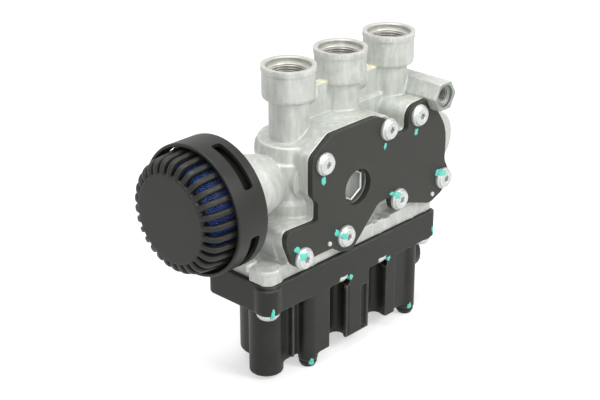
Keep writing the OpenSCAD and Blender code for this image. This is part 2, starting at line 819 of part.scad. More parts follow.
module housing_seal() {
    place() color([0.1, 0.1, 0.1]) difference() {
        plate_z(rounded(seal_outline(seal_inset)), seal_z, seal_t);
        for (x = coil_at) {
            rod_z(x, 0, seal_z - 1, pocket_d, seal_t + 2);
        }
        for (p = concat(flange_screw_at, column_screw_at)) {
            rod_z(p[0], p[1], seal_z - 1, cover_thread_d + 2 * loose, seal_t + 2);
        }
    }
}

module flange_screws() {
    place() color([0.85, 0.85, 0.86]) for (k = [0:len(flange_screw_at) - 1]) {
        raised = k == 1 || k == 2 ? notch_h : 0;
        translate([flange_screw_at[k][0], flange_screw_at[k][1], flange_z + raised])
            flange_screw(flange_head_d, flange_head_h, cover_thread_d, flange_screw_l - raised);
    }
}

module column_screws() {
    place() color([0.3, 0.3, 0.3]) for (p = column_screw_at) {
        translate([p[0], p[1], foot_h])
            flange_screw(foot_d, foot_h, cover_thread_d, column_screw_l);
    }
}

// Solenoids
module can(k) {
    place() color([0.5, 0.5, 0.5]) translate([coil_at[k], 0, can_z + snug]) difference() {
        cylinder(d = can_d, h = can_h);
        translate([0, 0, can_t]) cylinder(d = can_d - 2 * can_t, h = can_h);
    }
}

module bobbin(k) {
    outer = can_d - 2 * can_t - 4 * snug;
    core = tube_id + 2 * tube_t + 4 * snug;
    h = can_h - can_t - 1;
    place() color([0.85, 0.8, 0.65]) translate([coil_at[k], 0, can_z + can_t + 2 * snug]) difference() {
        cylinder(d = outer, h = h);
        translate([0, 0, -1]) cylinder(d = core, h = h + 2);
        translate([0, 0, 1.5]) tube(outer + 2, core + 2.4, h - 3);
    }
}

module winding(k) {
    outer = can_d - 2 * can_t - 1.2;
    core = tube_id + 2 * tube_t + 4 * snug + 2.4 + 2 * snug;
    h = can_h - can_t - 1 - 3 - 2 * snug;
    place() color([0.72, 0.4, 0.2]) translate([coil_at[k], 0, can_z + can_t + 1.5 + 3 * snug])
        tube(outer, core, h);
}

module guide_tube(k) {
    z = can_z + can_t + 2 * snug;
    place() color([0.65, 0.65, 0.66]) translate([coil_at[k], 0, z])
        tube(tube_id + 2 * tube_t, tube_id, tube_top - z);
}

module fixed_core(k) {
    z = can_z + can_t + 2 * snug;
    place() color([0.55, 0.55, 0.56]) rod_z(coil_at[k], 0, z, tube_id - 2 * snug, core_top - z);
}

module armature(k) {
    place() color([0.6, 0.6, 0.62]) translate([coil_at[k], 0, armature_bottom]) difference() {
        cylinder(d = tube_id - 2 * armature_gap, h = armature_l);
        translate([0, 0, -1]) cylinder(d = armature_spring_d + 1, h = spring_well + 1);
        translate([0, 0, armature_l - 2.5]) cylinder(d = 8 + 2 * snug, h = 3.5);
    }
}

module seat_seal(k) {
    place() color([0.1, 0.1, 0.1]) rod_z(coil_at[k], 0, armature_top - 2.5 + snug, 8, 2.5 - snug);
}

module armature_spring(k) {
    place() color([0.75, 0.75, 0.76]) translate([coil_at[k], 0, core_top])
        coil_spring(armature_spring_d, armature_wire_d, armature_bottom + spring_well - core_top, 7);
}

module can_left() {
    can(0);
}

module can_middle() {
    can(1);
}

module can_right() {
    can(2);
}

module bobbin_left() {
    bobbin(0);
}

module bobbin_middle() {
    bobbin(1);
}

module bobbin_right() {
    bobbin(2);
}

module winding_left() {
    winding(0);
}

module winding_middle() {
    winding(1);
}

module winding_right() {
    winding(2);
}

module guide_tube_left() {
    guide_tube(0);
}

module guide_tube_middle() {
    guide_tube(1);
}

module guide_tube_right() {
    guide_tube(2);
}

module fixed_core_left() {
    fixed_core(0);
}

module fixed_core_middle() {
    fixed_core(1);
}

module fixed_core_right() {
    fixed_core(2);
}

module armature_left() {
    armature(0);
}

module armature_middle() {
    armature(1);
}

module armature_right() {
    armature(2);
}

module seat_seal_left() {
    seat_seal(0);
}

module seat_seal_middle() {
    seat_seal(1);
}

module seat_seal_right() {
    seat_seal(2);
}

module armature_spring_left() {
    armature_spring(0);
}

module armature_spring_middle() {
    armature_spring(1);
}

module armature_spring_right() {
    armature_spring(2);
}

// Silencer, drawn along its own axis with the mouth side up
module on_neck() {
    place() translate([neck_x, 0, axis_z]) rotate([0, -90, 0]) children();
}

spigot_d = neck_bore_d - 0.2;
spigot_l = 20;
spigot_t = 3;
back_t = 2.5;
ring_groove = 2.6;
slot_from_back = 10.2;
shoulder = 14.5;
basket_d = shroud_d - 2 * shroud_t - 2 * basket_gap;
mesh_gap = 0.3;
mesh_t = 1.5;

module shroud_slot(a) {
    rotate([0, 0, a]) translate([0, 0, slot_from_back - shroud_slot_w / 2])
        rotate_extrude(angle = shroud_slot_len) translate([shroud_d / 2 - shroud_t - 1, 0])
            square([shroud_t + 2, shroud_slot_w]);
}

module silencer_shroud() {
    on_neck() color([0.17, 0.17, 0.17]) difference() {
        union() {
            rotate_extrude() polygon([
                [0, 0], [shroud_d / 2 - 1, 0], [shroud_d / 2, 1], [shroud_d / 2, shroud_w - 0.6],
                [shroud_d / 2 - 0.6, shroud_w], [shroud_d / 2 - shroud_t, shroud_w],
                [shroud_d / 2 - shroud_t, back_t], [0, back_t]]);
            translate([0, 0, -spigot_l]) cylinder(d = spigot_d, h = spigot_l + 1);
        }
        translate([0, 0, -spigot_l - 1])
            cylinder(d = spigot_d - 2 * spigot_t, h = spigot_l + back_t + 2);
        translate([0, 0, -spigot_l + 5]) tube(spigot_d + 1, spigot_d - 4, ring_groove);
        for (k = [0:3]) {
            shroud_slot(shroud_slot_a + 90 * k);
        }
    }
}

module neck_seal() {
    wire = 2;
    on_neck() color([0.08, 0.08, 0.08]) translate([0, 0, -spigot_l + 5 + ring_groove / 2]) rotate_extrude()
        translate([spigot_d / 2 - wire / 2 + 0.04, 0]) circle(d = wire, $fn = 32);
}

basket_h = shroud_w + basket_out;
function basket_shape(inset, foot) =
    let (d = disc_d / 2 - inset * 0.6, s = (disc_d + shoulder) / 2 - inset, b = basket_d / 2 - inset,
         top = basket_h - inset)
    [[0, foot], [0, top], [d, top], [d + 3.6, top - 1.2], [s, top - 3.8],
     [b - 1.4, shroud_w + 4], [b, shroud_w - 2], [b, foot]];

module silencer_basket() {
    on_neck() color([0.14, 0.14, 0.14]) difference() {
        rotate_extrude() polygon(basket_shape(0, back_t));
        rotate_extrude() polygon(basket_shape(slat_t, back_t - 1));
        slat_gaps();
    }
}

module slat_gaps() {
    gap = PI * (disc_d + shoulder) / slats - slat_w;
    for (k = [0:slats - 1]) {
        rotate([0, 0, 360 * (k + 0.5) / slats]) translate([disc_d / 2 - 0.5, -gap / 2, back_t + 7])
            cube([basket_d, gap, basket_h]);
    }
}

module silencer_mesh() {
    on_neck() color([0.15, 0.25, 0.6]) difference() {
        rotate_extrude() polygon(basket_shape(slat_t + mesh_gap, back_t + snug));
        rotate_extrude() polygon(basket_shape(slat_t + mesh_gap + mesh_t, back_t - 1));
    }
}

valve_body();
cover_plate();
cover_gasket();
cover_screws();
locating_pins();
bore_plug();
plug_seal();
check_valve();
check_spring();
piston_left();
piston_middle();
piston_right();
piston_seals_left();
piston_seals_middle();
piston_seals_right();
piston_spring_left();
piston_spring_middle();
piston_spring_right();
solenoid_housing();
housing_seal();
flange_screws();
column_screws();
connector_seal();
contact_pins();
can_left();
can_middle();
can_right();
bobbin_left();
bobbin_middle();
bobbin_right();
winding_left();
winding_middle();
winding_right();
guide_tube_left();
guide_tube_middle();
guide_tube_right();
fixed_core_left();
fixed_core_middle();
fixed_core_right();
armature_left();
armature_middle();
armature_right();
seat_seal_left();
seat_seal_middle();
seat_seal_right();
armature_spring_left();
armature_spring_middle();
armature_spring_right();
silencer_shroud();
silencer_basket();
silencer_mesh();
neck_seal();
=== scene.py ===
import math
import random

import bmesh
import bpy
import numpy as np
from mathutils import Matrix, Vector
from mathutils.bvhtree import BVHTree


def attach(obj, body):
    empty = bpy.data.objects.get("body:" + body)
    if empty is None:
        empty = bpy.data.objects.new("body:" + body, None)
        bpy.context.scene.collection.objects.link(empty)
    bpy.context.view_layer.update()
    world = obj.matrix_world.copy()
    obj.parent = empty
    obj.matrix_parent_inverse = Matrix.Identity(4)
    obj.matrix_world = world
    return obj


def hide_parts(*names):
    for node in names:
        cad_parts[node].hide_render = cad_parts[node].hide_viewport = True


# pneumatic valve block: cast body, cover plate, solenoid housing and a silencer with blue knit

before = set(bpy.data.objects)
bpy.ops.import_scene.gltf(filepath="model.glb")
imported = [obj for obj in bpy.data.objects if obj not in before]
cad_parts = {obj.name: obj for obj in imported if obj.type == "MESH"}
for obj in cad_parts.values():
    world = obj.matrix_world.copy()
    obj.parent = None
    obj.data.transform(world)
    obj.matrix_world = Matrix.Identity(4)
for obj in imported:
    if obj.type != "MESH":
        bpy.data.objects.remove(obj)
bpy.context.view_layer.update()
print("frame loaded:", len(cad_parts), "nodes")

mm = 0.001
rowX = 29.85  # the middle port along x; every other x below is counted from it, in mm
groundToBody = 69.2  # lower face of the casting
portTop = 189.0
neckHeight = 121.7
neckEnd = -101.8  # turned face of the neck, which the silencer sits on
frontFace = -26.0  # machined front face of the casting
backFace = 24.0
coverFace = -30.0  # outer face of the cover plate


# small helpers

def at(x, y, z):
    return Vector(((x + rowX) * mm, y * mm, z * mm))


def linear(r, g, b):  # a colour as seen on screen, 0 to 255, for a shader socket
    def channel(c):
        c = c / 255
        return c / 12.92 if c <= 0.04045 else ((c + 0.055) / 1.055) ** 2.4
    return (channel(r), channel(g), channel(b), 1.0)


def newObject(name, verts, faces):
    mesh = bpy.data.meshes.new(name)
    mesh.from_pydata([tuple(v) for v in verts], [], faces)
    mesh.update()
    obj = bpy.data.objects.new(name, mesh)
    bpy.context.scene.collection.objects.link(obj)
    return obj


def copyOfNode(node, name):
    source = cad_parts[node]
    mesh = source.data.copy()
    mesh.name = name
    mesh.materials.clear()
    obj = bpy.data.objects.new(name, mesh)
    bpy.context.scene.collection.objects.link(obj)
    work = bmesh.new()
    work.from_mesh(mesh)
    bmesh.ops.remove_doubles(work, verts=work.verts, dist=0.002 * mm)
    work.to_mesh(mesh)
    work.free()
    return obj


def bake(obj):
    bpy.context.view_layer.update()
    graph = bpy.context.evaluated_depsgraph_get()
    mesh = bpy.data.meshes.new_from_object(obj.evaluated_get(graph))
    obj.modifiers.clear()
    old = obj.data
    obj.data = mesh
    bpy.data.meshes.remove(old)
    return obj


def discard(obj):
    mesh = obj.data
    bpy.data.objects.remove(obj)
    bpy.data.meshes.remove(mesh)


def combine(obj, other, operation="DIFFERENCE"):
    cut = obj.modifiers.new(operation.lower(), "BOOLEAN")
    cut.operation = operation
    cut.solver = "MANIFOLD"
    cut.object = other
    bake(obj)
    discard(other)
    return obj


def joined(name, objects):
    verts, faces = [], []
    for o in objects:
        start = len(verts)
        verts += [v.co.copy() for v in o.data.vertices]
        faces += [[start + k for k in p.vertices] for p in o.data.polygons]
        discard(o)
    return newObject(name, verts, faces)


def fromRings(name, rings, startPoint=None, endPoint=None, closed=False):
    # rings of equally many points, each closed on itself, skinned one to the next
    count = len(rings[0])
    verts = [Vector(p) for ring in rings for p in ring]
    faces = []
    last = len(rings) if closed else len(rings) - 1
    for k in range(last):
        a, b = k * count, (k + 1) % len(rings) * count
        for s in range(count):
            t = (s + 1) % count
            faces.append([a + s, a + t, b + t, b + s])
    if not closed:
        for point, base, flip in ((startPoint, 0, True), (endPoint, (len(rings) - 1) * count, False)):
            if point is None:
                loop = [base + s for s in range(count)]
                faces.append(loop[::-1] if flip else loop)
                continue
            verts.append(Vector(point))
            tip = len(verts) - 1
            for s in range(count):
                t = (s + 1) % count
                faces.append([tip, base + t, base + s] if flip else [tip, base + s, base + t])
    return newObject(name, verts, faces)


def ring(radius, z, steps=64):
    # radius is a number or a function of the angle
    points = []
    for s in range(steps):
        a = 2 * math.pi * s / steps
        r = radius(a) if callable(radius) else radius
        points.append((r * math.cos(a) * mm, r * math.sin(a) * mm, z * mm))
    return points


def turned(name, profile, steps=64):
    # profile runs upward outside: [(radius, z), ...], closed on the axis at both ends
    rings = [ring(r, z, steps) for r, z in profile]
    return fromRings(name, rings)


def axisTurn(axis):
    # turns what was made along z to point along the axis
    degrees, about = {"x": (90, "Y"), "-x": (-90, "Y"), "y": (-90, "X"), "z": (0, "Z")}[axis]
    return Matrix.Rotation(math.radians(degrees), 4, about)


def placed(obj, place, axis="z"):
    obj.data.transform(Matrix.Translation(place) @ axisTurn(axis))
    return obj


def rod(place, axis, diameter, length, steps=48):
    return placed(turned("rod", [(diameter / 2, 0), (diameter / 2, length)], steps), place, axis)


def block(low, high):
    return newObject("block", [
        (x, y, z) for x in (low[0], high[0]) for y in (low[1], high[1]) for z in (low[2], high[2])],
        [[0, 1, 3, 2], [4, 6, 7, 5], [0, 4, 5, 1], [2, 3, 7, 6], [0, 2, 6, 4], [1, 5, 7, 3]])


threadForm = {"flank": 4.4, "cutCrest": 1.6, "rolledCrest": 1.5, "rowsPerTurn": 8}


def threadRise(a, z, pitch, crest):
    # 0 in the groove and 1 on the crest, at the angle a and the height z
    phase = (z / pitch - a / (2 * math.pi)) % 1.0
    return min(max(crest - abs(phase - 0.5) * threadForm["flank"], 0.0), 1.0)


def cutThread(obj, thread, place, axis, steps):
    # thread is a dictionary with the core and major diameters, the pitch and the length
    core, major, pitch, length = (thread[k] for k in ("core", "major", "pitch", "length"))
    rows = int(length / pitch * threadForm["rowsPerTurn"])

    def radius(a, z):
        return core / 2 + (major - core) / 2 * threadRise(a, z, pitch, threadForm["cutCrest"])
    rings = []
    for k in range(rows + 1):
        z = length * k / rows
        rings.append(ring(lambda a: radius(a, z), z, steps))
    return combine(obj, placed(fromRings("tap", rings), place, axis))


def remeshed(obj, voxel):
    mod = obj.modifiers.new("voxels", "REMESH")
    mod.mode = "VOXEL"
    mod.voxel_size = voxel * mm
    return bake(obj)


def soften(obj, steps, fill, trim, hold=None):
    # smooths a dense mesh; hollows fill faster than edges wear, as on a casting
    mesh = obj.data
    co = np.zeros(len(mesh.vertices) * 3)
    mesh.vertices.foreach_get("co", co)
    co = co.reshape(-1, 3)
    edges = np.zeros(len(mesh.edges) * 2, int)
    mesh.edges.foreach_get("vertices", edges)
    edges = edges.reshape(-1, 2)
    start, end = np.concatenate([edges[:, 0], edges[:, 1]]), np.concatenate([edges[:, 1], edges[:, 0]])
    count = np.bincount(start, minlength=len(co))[:, None]
    quads = np.array([list(p.vertices) for p in mesh.polygons if len(p.vertices) == 4])
    weight = np.ones(len(co)) if hold is None else hold(co)
    for _ in range(steps):
        mean = np.stack([np.bincount(start, co[end, j], len(co)) for j in range(3)], 1) / count
        face = np.cross(co[quads[:, 2]] - co[quads[:, 0]], co[quads[:, 3]] - co[quads[:, 1]])
        normal = np.stack(
            [np.bincount(quads.ravel(), np.repeat(face[:, j], 4), len(co)) for j in range(3)], 1)
        normal /= np.linalg.norm(normal, axis=1)[:, None] + 1e-20
        move = mean - co
        outward = (move * normal).sum(1)
        rate = np.where(outward > 0, fill, trim) * weight
        co = co + move * rate[:, None]
    mesh.vertices.foreach_set("co", co.ravel())
    mesh.update()
    return obj


def flipIfInside(obj):
    # turns every face outward
    work = bmesh.new()
    work.from_mesh(obj.data)
    bmesh.ops.recalc_face_normals(work, faces=work.faces)
    work.to_mesh(obj.data)
    work.free()
    return obj


def decimated(obj, triangles):
    # brings a mesh of quads down to about so many triangles
    share = triangles / (len(obj.data.polygons) * 2)
    if share >= 1:
        return obj
    mod = obj.modifiers.new("fewer", "DECIMATE")
    mod.ratio = share
    return bake(obj)


def mergeFlatFaces(work):
    bmesh.ops.dissolve_limit(work, angle_limit=math.radians(1.5), verts=work.verts, edges=work.edges)


def bevelled(obj, width, segments, angle):
    work = bmesh.new()
    work.from_mesh(obj.data)
    mergeFlatFaces(work)
    work.to_mesh(obj.data)
    work.free()
    mod = obj.modifiers.new("edges", "BEVEL")
    mod.width = width * mm
    mod.segments = segments
    mod.limit_method = "ANGLE"
    mod.angle_limit = math.radians(angle)
    mod.use_clamp_overlap = True
    return bake(obj)


def evenShading(obj):
    # large flat faces keep their own normals beside narrow bevels
    mod = obj.modifiers.new("flatFaces", "WEIGHTED_NORMAL")
    mod.keep_sharp = True
    return bake(obj)


def levelFaces(obj, axis=1):
    # one normal over each face that is square to the axis, so that no crease shows in it
    mesh = obj.data
    normals = [n.vector.copy() for n in mesh.corner_normals]
    for p in mesh.polygons:
        if abs(p.normal[axis]) > 0.999:
            square = Vector((0, 0, 0))
            square[axis] = math.copysign(1, p.normal[axis])
            for k in p.loop_indices:
                normals[k] = square
    mesh.normals_split_custom_set(normals)


def shade(obj, angle):
    # smooth where neighbouring faces meet at less than the angle, in degrees
    work = bmesh.new()
    work.from_mesh(obj.data)
    limit = math.radians(angle)
    for f in work.faces:
        f.smooth = True
    for e in work.edges:
        e.smooth = len(e.link_faces) == 2 and e.calc_face_angle(0) < limit
    work.to_mesh(obj.data)
    work.free()
    return obj


def finishPiece(obj, name, materials, nodes=(), body="block"):
    obj.name = name
    obj.data.name = name
    obj.data.materials.clear()
    for m in materials:
        obj.data.materials.append(m)
    for p in obj.data.polygons:
        p.material_index = 0
    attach(obj, body)
    if nodes:
        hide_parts(*nodes)
    print("made", name, "with", sum(len(p.vertices) - 2 for p in obj.data.polygons), "triangles")
    return obj


# camera, lamps and floor

cameraSettings = {
    "place": (-0.58155, -0.5450, 0.4568),
    "azimuth": -46.587,
    "elevation": 24.264,
    "lens": 85.65,
    "sensor": 36,
    "clip": (0.05, 20),
}


def makeCamera():
    s = cameraSettings
    data = bpy.data.cameras.new("camera")
    data.lens = s["lens"]
    data.sensor_width = s["sensor"]
    data.clip_start, data.clip_end = s["clip"]
    camera = bpy.data.objects.new("camera", data)
    a, e = math.radians(s["azimuth"]), math.radians(s["elevation"])
    back = Vector((math.sin(a) * math.cos(e), -math.cos(a) * math.cos(e), math.sin(e)))
    camera.location = s["place"]
    camera.rotation_mode = "QUATERNION"
    camera.rotation_quaternion = (-back).to_track_quat("-Z", "Y")
    bpy.context.scene.collection.objects.link(camera)
    bpy.context.scene.camera = camera


makeCamera()

lightSettings = {
    "ambient": 0.5,
    "lamps": [  # name, place, size, power in watts
        ("keyLamp", (0.35, -1.15, 1.15), 0.7, 12.6),
        ("topLamp", (-0.15, 0.1, 1.45), 0.9, 10.5),
        ("frontFill", (-0.95, -0.95, 0.75), 1.0, 6.0),
    ],
    "aim": (0.0, 0.0, 0.09),
}


def addNode(tree, kind, values=None, **settings):
    made = tree.nodes.new(kind)
    for key, value in settings.items():
        setattr(made, key, value)
    for key, value in (values or {}).items():
        made.inputs[key].default_value = value
    return made


def makeLights():
    s = lightSettings
    for name, place, size, power in s["lamps"]:
        data = bpy.data.lights.new(name, "AREA")
        data.shape = "DISK"
        data.size = size
        data.energy = power
        lamp = bpy.data.objects.new(name, data)
        lamp.location = place
        lamp.rotation_mode = "QUATERNION"
        lamp.rotation_quaternion = (Vector(s["aim"]) - Vector(place)).to_track_quat("-Z", "Y")
        bpy.context.scene.collection.objects.link(lamp)
    world = bpy.data.worlds.new("studio")
    bpy.context.scene.world = world
    world.use_nodes = True
    tree = world.node_tree
    tree.nodes.clear()
    out = addNode(tree, "ShaderNodeOutputWorld")
    mix = addNode(tree, "ShaderNodeMixShader")
    soft = addNode(tree, "ShaderNodeBackground", {"Color": (1, 1, 1, 1), "Strength": s["ambient"]})
    white = addNode(tree, "ShaderNodeBackground", {"Color": (1, 1, 1, 1), "Strength": 1.0})
    tree.links.new(seenRay(tree), mix.inputs["Fac"])
    tree.links.new(soft.outputs[0], mix.inputs[1])
    tree.links.new(white.outputs[0], mix.inputs[2])
    tree.links.new(mix.outputs[0], out.inputs["Surface"])


def seenRay(tree):
    path = addNode(tree, "ShaderNodeLightPath")
    first = addNode(tree, "ShaderNodeMath", operation="MAXIMUM")
    second = addNode(tree, "ShaderNodeMath", operation="MAXIMUM")
    tree.links.new(path.outputs["Is Camera Ray"], first.inputs[0])
    tree.links.new(path.outputs["Is Glossy Ray"], first.inputs[1])
    tree.links.new(first.outputs[0], second.inputs[0])
    tree.links.new(path.outputs["Is Transmission Ray"], second.inputs[1])
    return second.outputs[0]


floorSettings = {"size": 12.0, "colour": linear(205, 205, 205), "roughness": 0.9, "glow": 0.52}


def makeFloor():
    s = floorSettings
    half = s["size"] / 2
    floor = newObject("floor", [(-half, -half, 0), (half, -half, 0), (half, half, 0), (-half, half, 0)],
                      [[0, 1, 2, 3]])
    material = bpy.data.materials.new("paleFloor")
    material.use_nodes = True
    tree = material.node_tree
    shader = tree.nodes["Principled BSDF"]
    shader.inputs["Base Color"].default_value = s["colour"]
    shader.inputs["Roughness"].default_value = s["roughness"]
    shader.inputs["Specular IOR Level"].default_value = 0.0
    shader.inputs["Emission Strength"].default_value = s["glow"]
    tree.links.new(seenRay(tree), shader.inputs["Emission Color"])
    floor.data.materials.append(material)


makeLights()
makeFloor()
print("camera, lights and floor ready")


# shader node groups and the materials made from them

def newGroup(name, inputs, outputs):
    group = bpy.data.node_groups.new(name, "ShaderNodeTree")
    for label, kind, value in inputs:
        socket = group.interface.new_socket(name=label, in_out="INPUT", socket_type=kind)
        socket.default_value = value
    for label, kind in outputs:
        group.interface.new_socket(name=label, in_out="OUTPUT", socket_type=kind)
    return group, addNode(group, "NodeGroupInput"), addNode(group, "NodeGroupOutput")


def noiseNode(tree, coords, scale, detail, rough=0.6):
    made = addNode(tree, "ShaderNodeTexNoise", {"Detail": detail, "Roughness": rough})
    tree.links.new(coords, made.inputs["Vector"])
    if isinstance(scale, (int, float)):
        made.inputs["Scale"].default_value = scale
    else:
        tree.links.new(scale, made.inputs["Scale"])
    return made.outputs["Fac"]


def mathNode(tree, operation, a, b, clamp=False):
    made = addNode(tree, "ShaderNodeMath", operation=operation, use_clamp=clamp)
    for k, value in enumerate((a, b)):
        if isinstance(value, (int, float)):
            made.inputs[k].default_value = value
        else:
            tree.links.new(value, made.inputs[k])
    return made.outputs[0]


def spread(tree, value, fromLow, fromHigh, toLow=0.0, toHigh=1.0):
    made = addNode(tree, "ShaderNodeMapRange", {
        "From Min": fromLow, "From Max": fromHigh, "To Min": toLow, "To Max": toHigh})
    tree.links.new(value, made.inputs["Value"])
    return made.outputs["Result"]


def mixColour(tree, factor, a, b):
    made = addNode(tree, "ShaderNodeMix", data_type="RGBA")
    made.clamp_factor = True
    tree.links.new(factor, made.inputs["Factor"])
    for label, value in (("A", a), ("B", b)):
        socket = [i for i in made.inputs if i.name == label and i.type == "RGBA"][0]
        tree.links.new(value, socket)
    return [o for o in made.outputs if o.type == "RGBA"][0]


castSkinSettings = {  # four numbers are a map range: from low, from high, to low, to high
    "patches": (0.4, 0.68, 0.0, 0.5),
    "streakStretch": (1.0, 1.0, 0.22), "streakScale": 260.0, "streaks": (0.45, 0.7, 0.0, 0.4),
    "speckles": (0.3, 0.75, 0.0, 0.22),
    "coarseScale": 420.0, "wobble": (0.3, 0.7, -0.08, 0.1),
    # raised edges, found by pointiness, get a painted highlight in the bright colour
    "raised": (0.506, 0.56), "edgeHighlightShare": 0.65,
    # sunken creases, found by pointiness, get a painted shade in the shadow colour
    "creaseShade": (0.495, 0.44), "creaseShadeShare": 0.25,
    "grainHeight": 0.5,
}


def castSkinGroup():
    s = castSkinSettings
    group, given, result = newGroup("castSkin", [
        ("Colour", "NodeSocketColor", (0.6, 0.6, 0.6, 1)),
        ("Shadow Colour", "NodeSocketColor", (0.4, 0.4, 0.4, 1)),
        ("Bright Colour", "NodeSocketColor", (0.8, 0.8, 0.8, 1)),
        ("Patch Scale", "NodeSocketFloat", 60.0),
        ("Grain Scale", "NodeSocketFloat", 1500.0),
        ("Roughness", "NodeSocketFloat", 0.5)],
        [("Colour", "NodeSocketColor"), ("Roughness", "NodeSocketFloat"), ("Height", "NodeSocketFloat")])
    link = group.links.new
    shadow, bright = given.outputs["Shadow Colour"], given.outputs["Bright Colour"]
    coords = addNode(group, "ShaderNodeTexCoord").outputs["Object"]
    patches = noiseNode(group, coords, given.outputs["Patch Scale"], 4.0)
    drawn = addNode(group, "ShaderNodeVectorMath", operation="MULTIPLY")
    drawn.inputs[1].default_value = s["streakStretch"]
    link(coords, drawn.inputs[0])
    streaks = noiseNode(group, drawn.outputs[0], s["streakScale"], 3.0)
    grain = noiseNode(group, coords, given.outputs["Grain Scale"], 2.0)
    coarse = noiseNode(group, coords, s["coarseScale"], 3.0)
    edge = addNode(group, "ShaderNodeNewGeometry").outputs["Pointiness"]
    # painted highlight: raised edges lighten towards the bright colour
    raised = mathNode(group, "MULTIPLY", spread(group, edge, *s["raised"]), s["edgeHighlightShare"])
    # painted shade: sunken creases darken towards the shadow colour
    creaseShade = mathNode(group, "MULTIPLY", spread(group, edge, *s["creaseShade"]), s["creaseShadeShare"])
    patchy = mixColour(group, spread(group, patches, *s["patches"]), given.outputs["Colour"], shadow)
    streaky = mixColour(group, spread(group, streaks, *s["streaks"]), patchy, bright)
    speckled = mixColour(group, spread(group, grain, *s["speckles"]), streaky, bright)
    wornAndHighlit = mixColour(group, raised, speckled, bright)
    link(mixColour(group, creaseShade, wornAndHighlit, shadow), result.inputs["Colour"])
    wobble = spread(group, coarse, *s["wobble"])
    link(mathNode(group, "ADD", given.outputs["Roughness"], wobble), result.inputs["Roughness"])
    bumps = mathNode(group, "ADD", mathNode(group, "MULTIPLY", grain, s["grainHeight"]),
                     mathNode(group, "ADD", coarse, streaks))
    link(bumps, result.inputs["Height"])
    return group


fineGrainSettings = {
    "cloudScale": 45.0, "dust": (0.45, 0.75, 0.0, 0.16), "wobble": (0.3, 0.7, -0.05, 0.06),
    # raised edges, found by pointiness: edge wear and a painted highlight
    "rubbedAndHighlit": (0.51, 0.57),
}


def fineGrainGroup():
    s = fineGrainSettings
    group, given, result = newGroup("fineGrain", [
        ("Colour", "NodeSocketColor", (0.1, 0.1, 0.1, 1)),
        ("Worn And Highlight Colour", "NodeSocketColor", (0.2, 0.2, 0.2, 1)),
        ("Grain Scale", "NodeSocketFloat", 2500.0),
        ("Roughness", "NodeSocketFloat", 0.5),
        ("Wear", "NodeSocketFloat", 0.5),
        ("Edge Wear And Highlight", "NodeSocketFloat", 0.5)],
        [("Colour", "NodeSocketColor"), ("Roughness", "NodeSocketFloat"), ("Height", "NodeSocketFloat")])
    link = group.links.new
    coords = addNode(group, "ShaderNodeTexCoord").outputs["Object"]
    grain = noiseNode(group, coords, given.outputs["Grain Scale"], 2.0)
    clouds = noiseNode(group, coords, s["cloudScale"], 3.0, 0.55)
    edge = addNode(group, "ShaderNodeNewGeometry").outputs["Pointiness"]
    # edge wear and painted highlight: raised edges lighten towards the worn colour
    rubbedAndHighlit = mathNode(group, "MULTIPLY", spread(group, edge, *s["rubbedAndHighlit"]), given.outputs["Edge Wear And Highlight"])
    dusty = mathNode(group, "MULTIPLY", spread(group, clouds, *s["dust"]), given.outputs["Wear"])
    total = mathNode(group, "ADD", rubbedAndHighlit, dusty, True)
    link(mixColour(group, total, given.outputs["Colour"], given.outputs["Worn And Highlight Colour"]),
         result.inputs["Colour"])
    wobble = spread(group, clouds, *s["wobble"])
    link(mathNode(group, "ADD", given.outputs["Roughness"], wobble), result.inputs["Roughness"])
    link(grain, result.inputs["Height"])
    return group


castSkin = castSkinGroup()
fineGrain = fineGrainGroup()


def shaderWith(name, group, values, bump, depth, metallic=0.0, specular=0.5):
    material = bpy.data.materials.new(name)
    material.use_nodes = True
    tree = material.node_tree
    shader = tree.nodes["Principled BSDF"]
    shader.inputs["Metallic"].default_value = metallic
    shader.inputs["Specular IOR Level"].default_value = specular
    skin = addNode(tree, "ShaderNodeGroup", node_tree=group)
    for key, value in values.items():
        skin.inputs[key].default_value = value
    relief = addNode(tree, "ShaderNodeBump", {"Strength": bump, "Distance": depth * mm})
    tree.links.new(skin.outputs["Colour"], shader.inputs["Base Color"])
    tree.links.new(skin.outputs["Roughness"], shader.inputs["Roughness"])
    tree.links.new(skin.outputs["Height"], relief.inputs["Height"])
    tree.links.new(relief.outputs["Normal"], shader.inputs["Normal"])
    return material


reliefDepth = {"cast": 0.3, "grain": 0.15}  # in mm


def castMaterial(name, colour, shadow, bright, rough, bump, metallic, patch=60.0, grain=1500.0):
    # colours as seen on screen, 0 to 255; the bright colour also gives raised edges a painted highlight and
    # the shadow colour gives creases a painted shade
    return shaderWith(name, castSkin, {
        "Colour": linear(*colour), "Shadow Colour": linear(*shadow), "Bright Colour": linear(*bright),
        "Patch Scale": patch, "Grain Scale": grain, "Roughness": rough}, bump, reliefDepth["cast"], metallic)


# edges sets the edge wear and painted highlight on raised edges
def grainMaterial(name, colour, wornAndHighlit, rough, wear, bump, metallic=0.0, grain=2500.0, specular=0.5, edges=0.0):
    return shaderWith(name, fineGrain, {
        "Colour": linear(*colour), "Worn And Highlight Colour": linear(*wornAndHighlit), "Grain Scale": grain,
        "Roughness": rough, "Wear": wear, "Edge Wear And Highlight": edges}, bump, reliefDepth["grain"], metallic, specular)


castAlloy = castMaterial("castAlloy", (192, 195, 189), (146, 150, 144), (232, 235, 229),
                         rough=0.5, bump=0.4, metallic=0.3)
machinedAlloy = castMaterial("machinedAlloy", (176, 176, 169), (138, 138, 131), (206, 205, 198),
                             rough=0.42, bump=0.12, metallic=0.4, patch=90.0, grain=2600.0)
# the milled faces' darker grey is partly their finish and partly painted shade in the bores
milledAndShadedAlloy = castMaterial("milledAndShadedAlloy", (132, 136, 130), (104, 108, 102), (176, 180, 174),
                           rough=0.45, bump=0.15, metallic=0.4, patch=120.0, grain=2600.0)
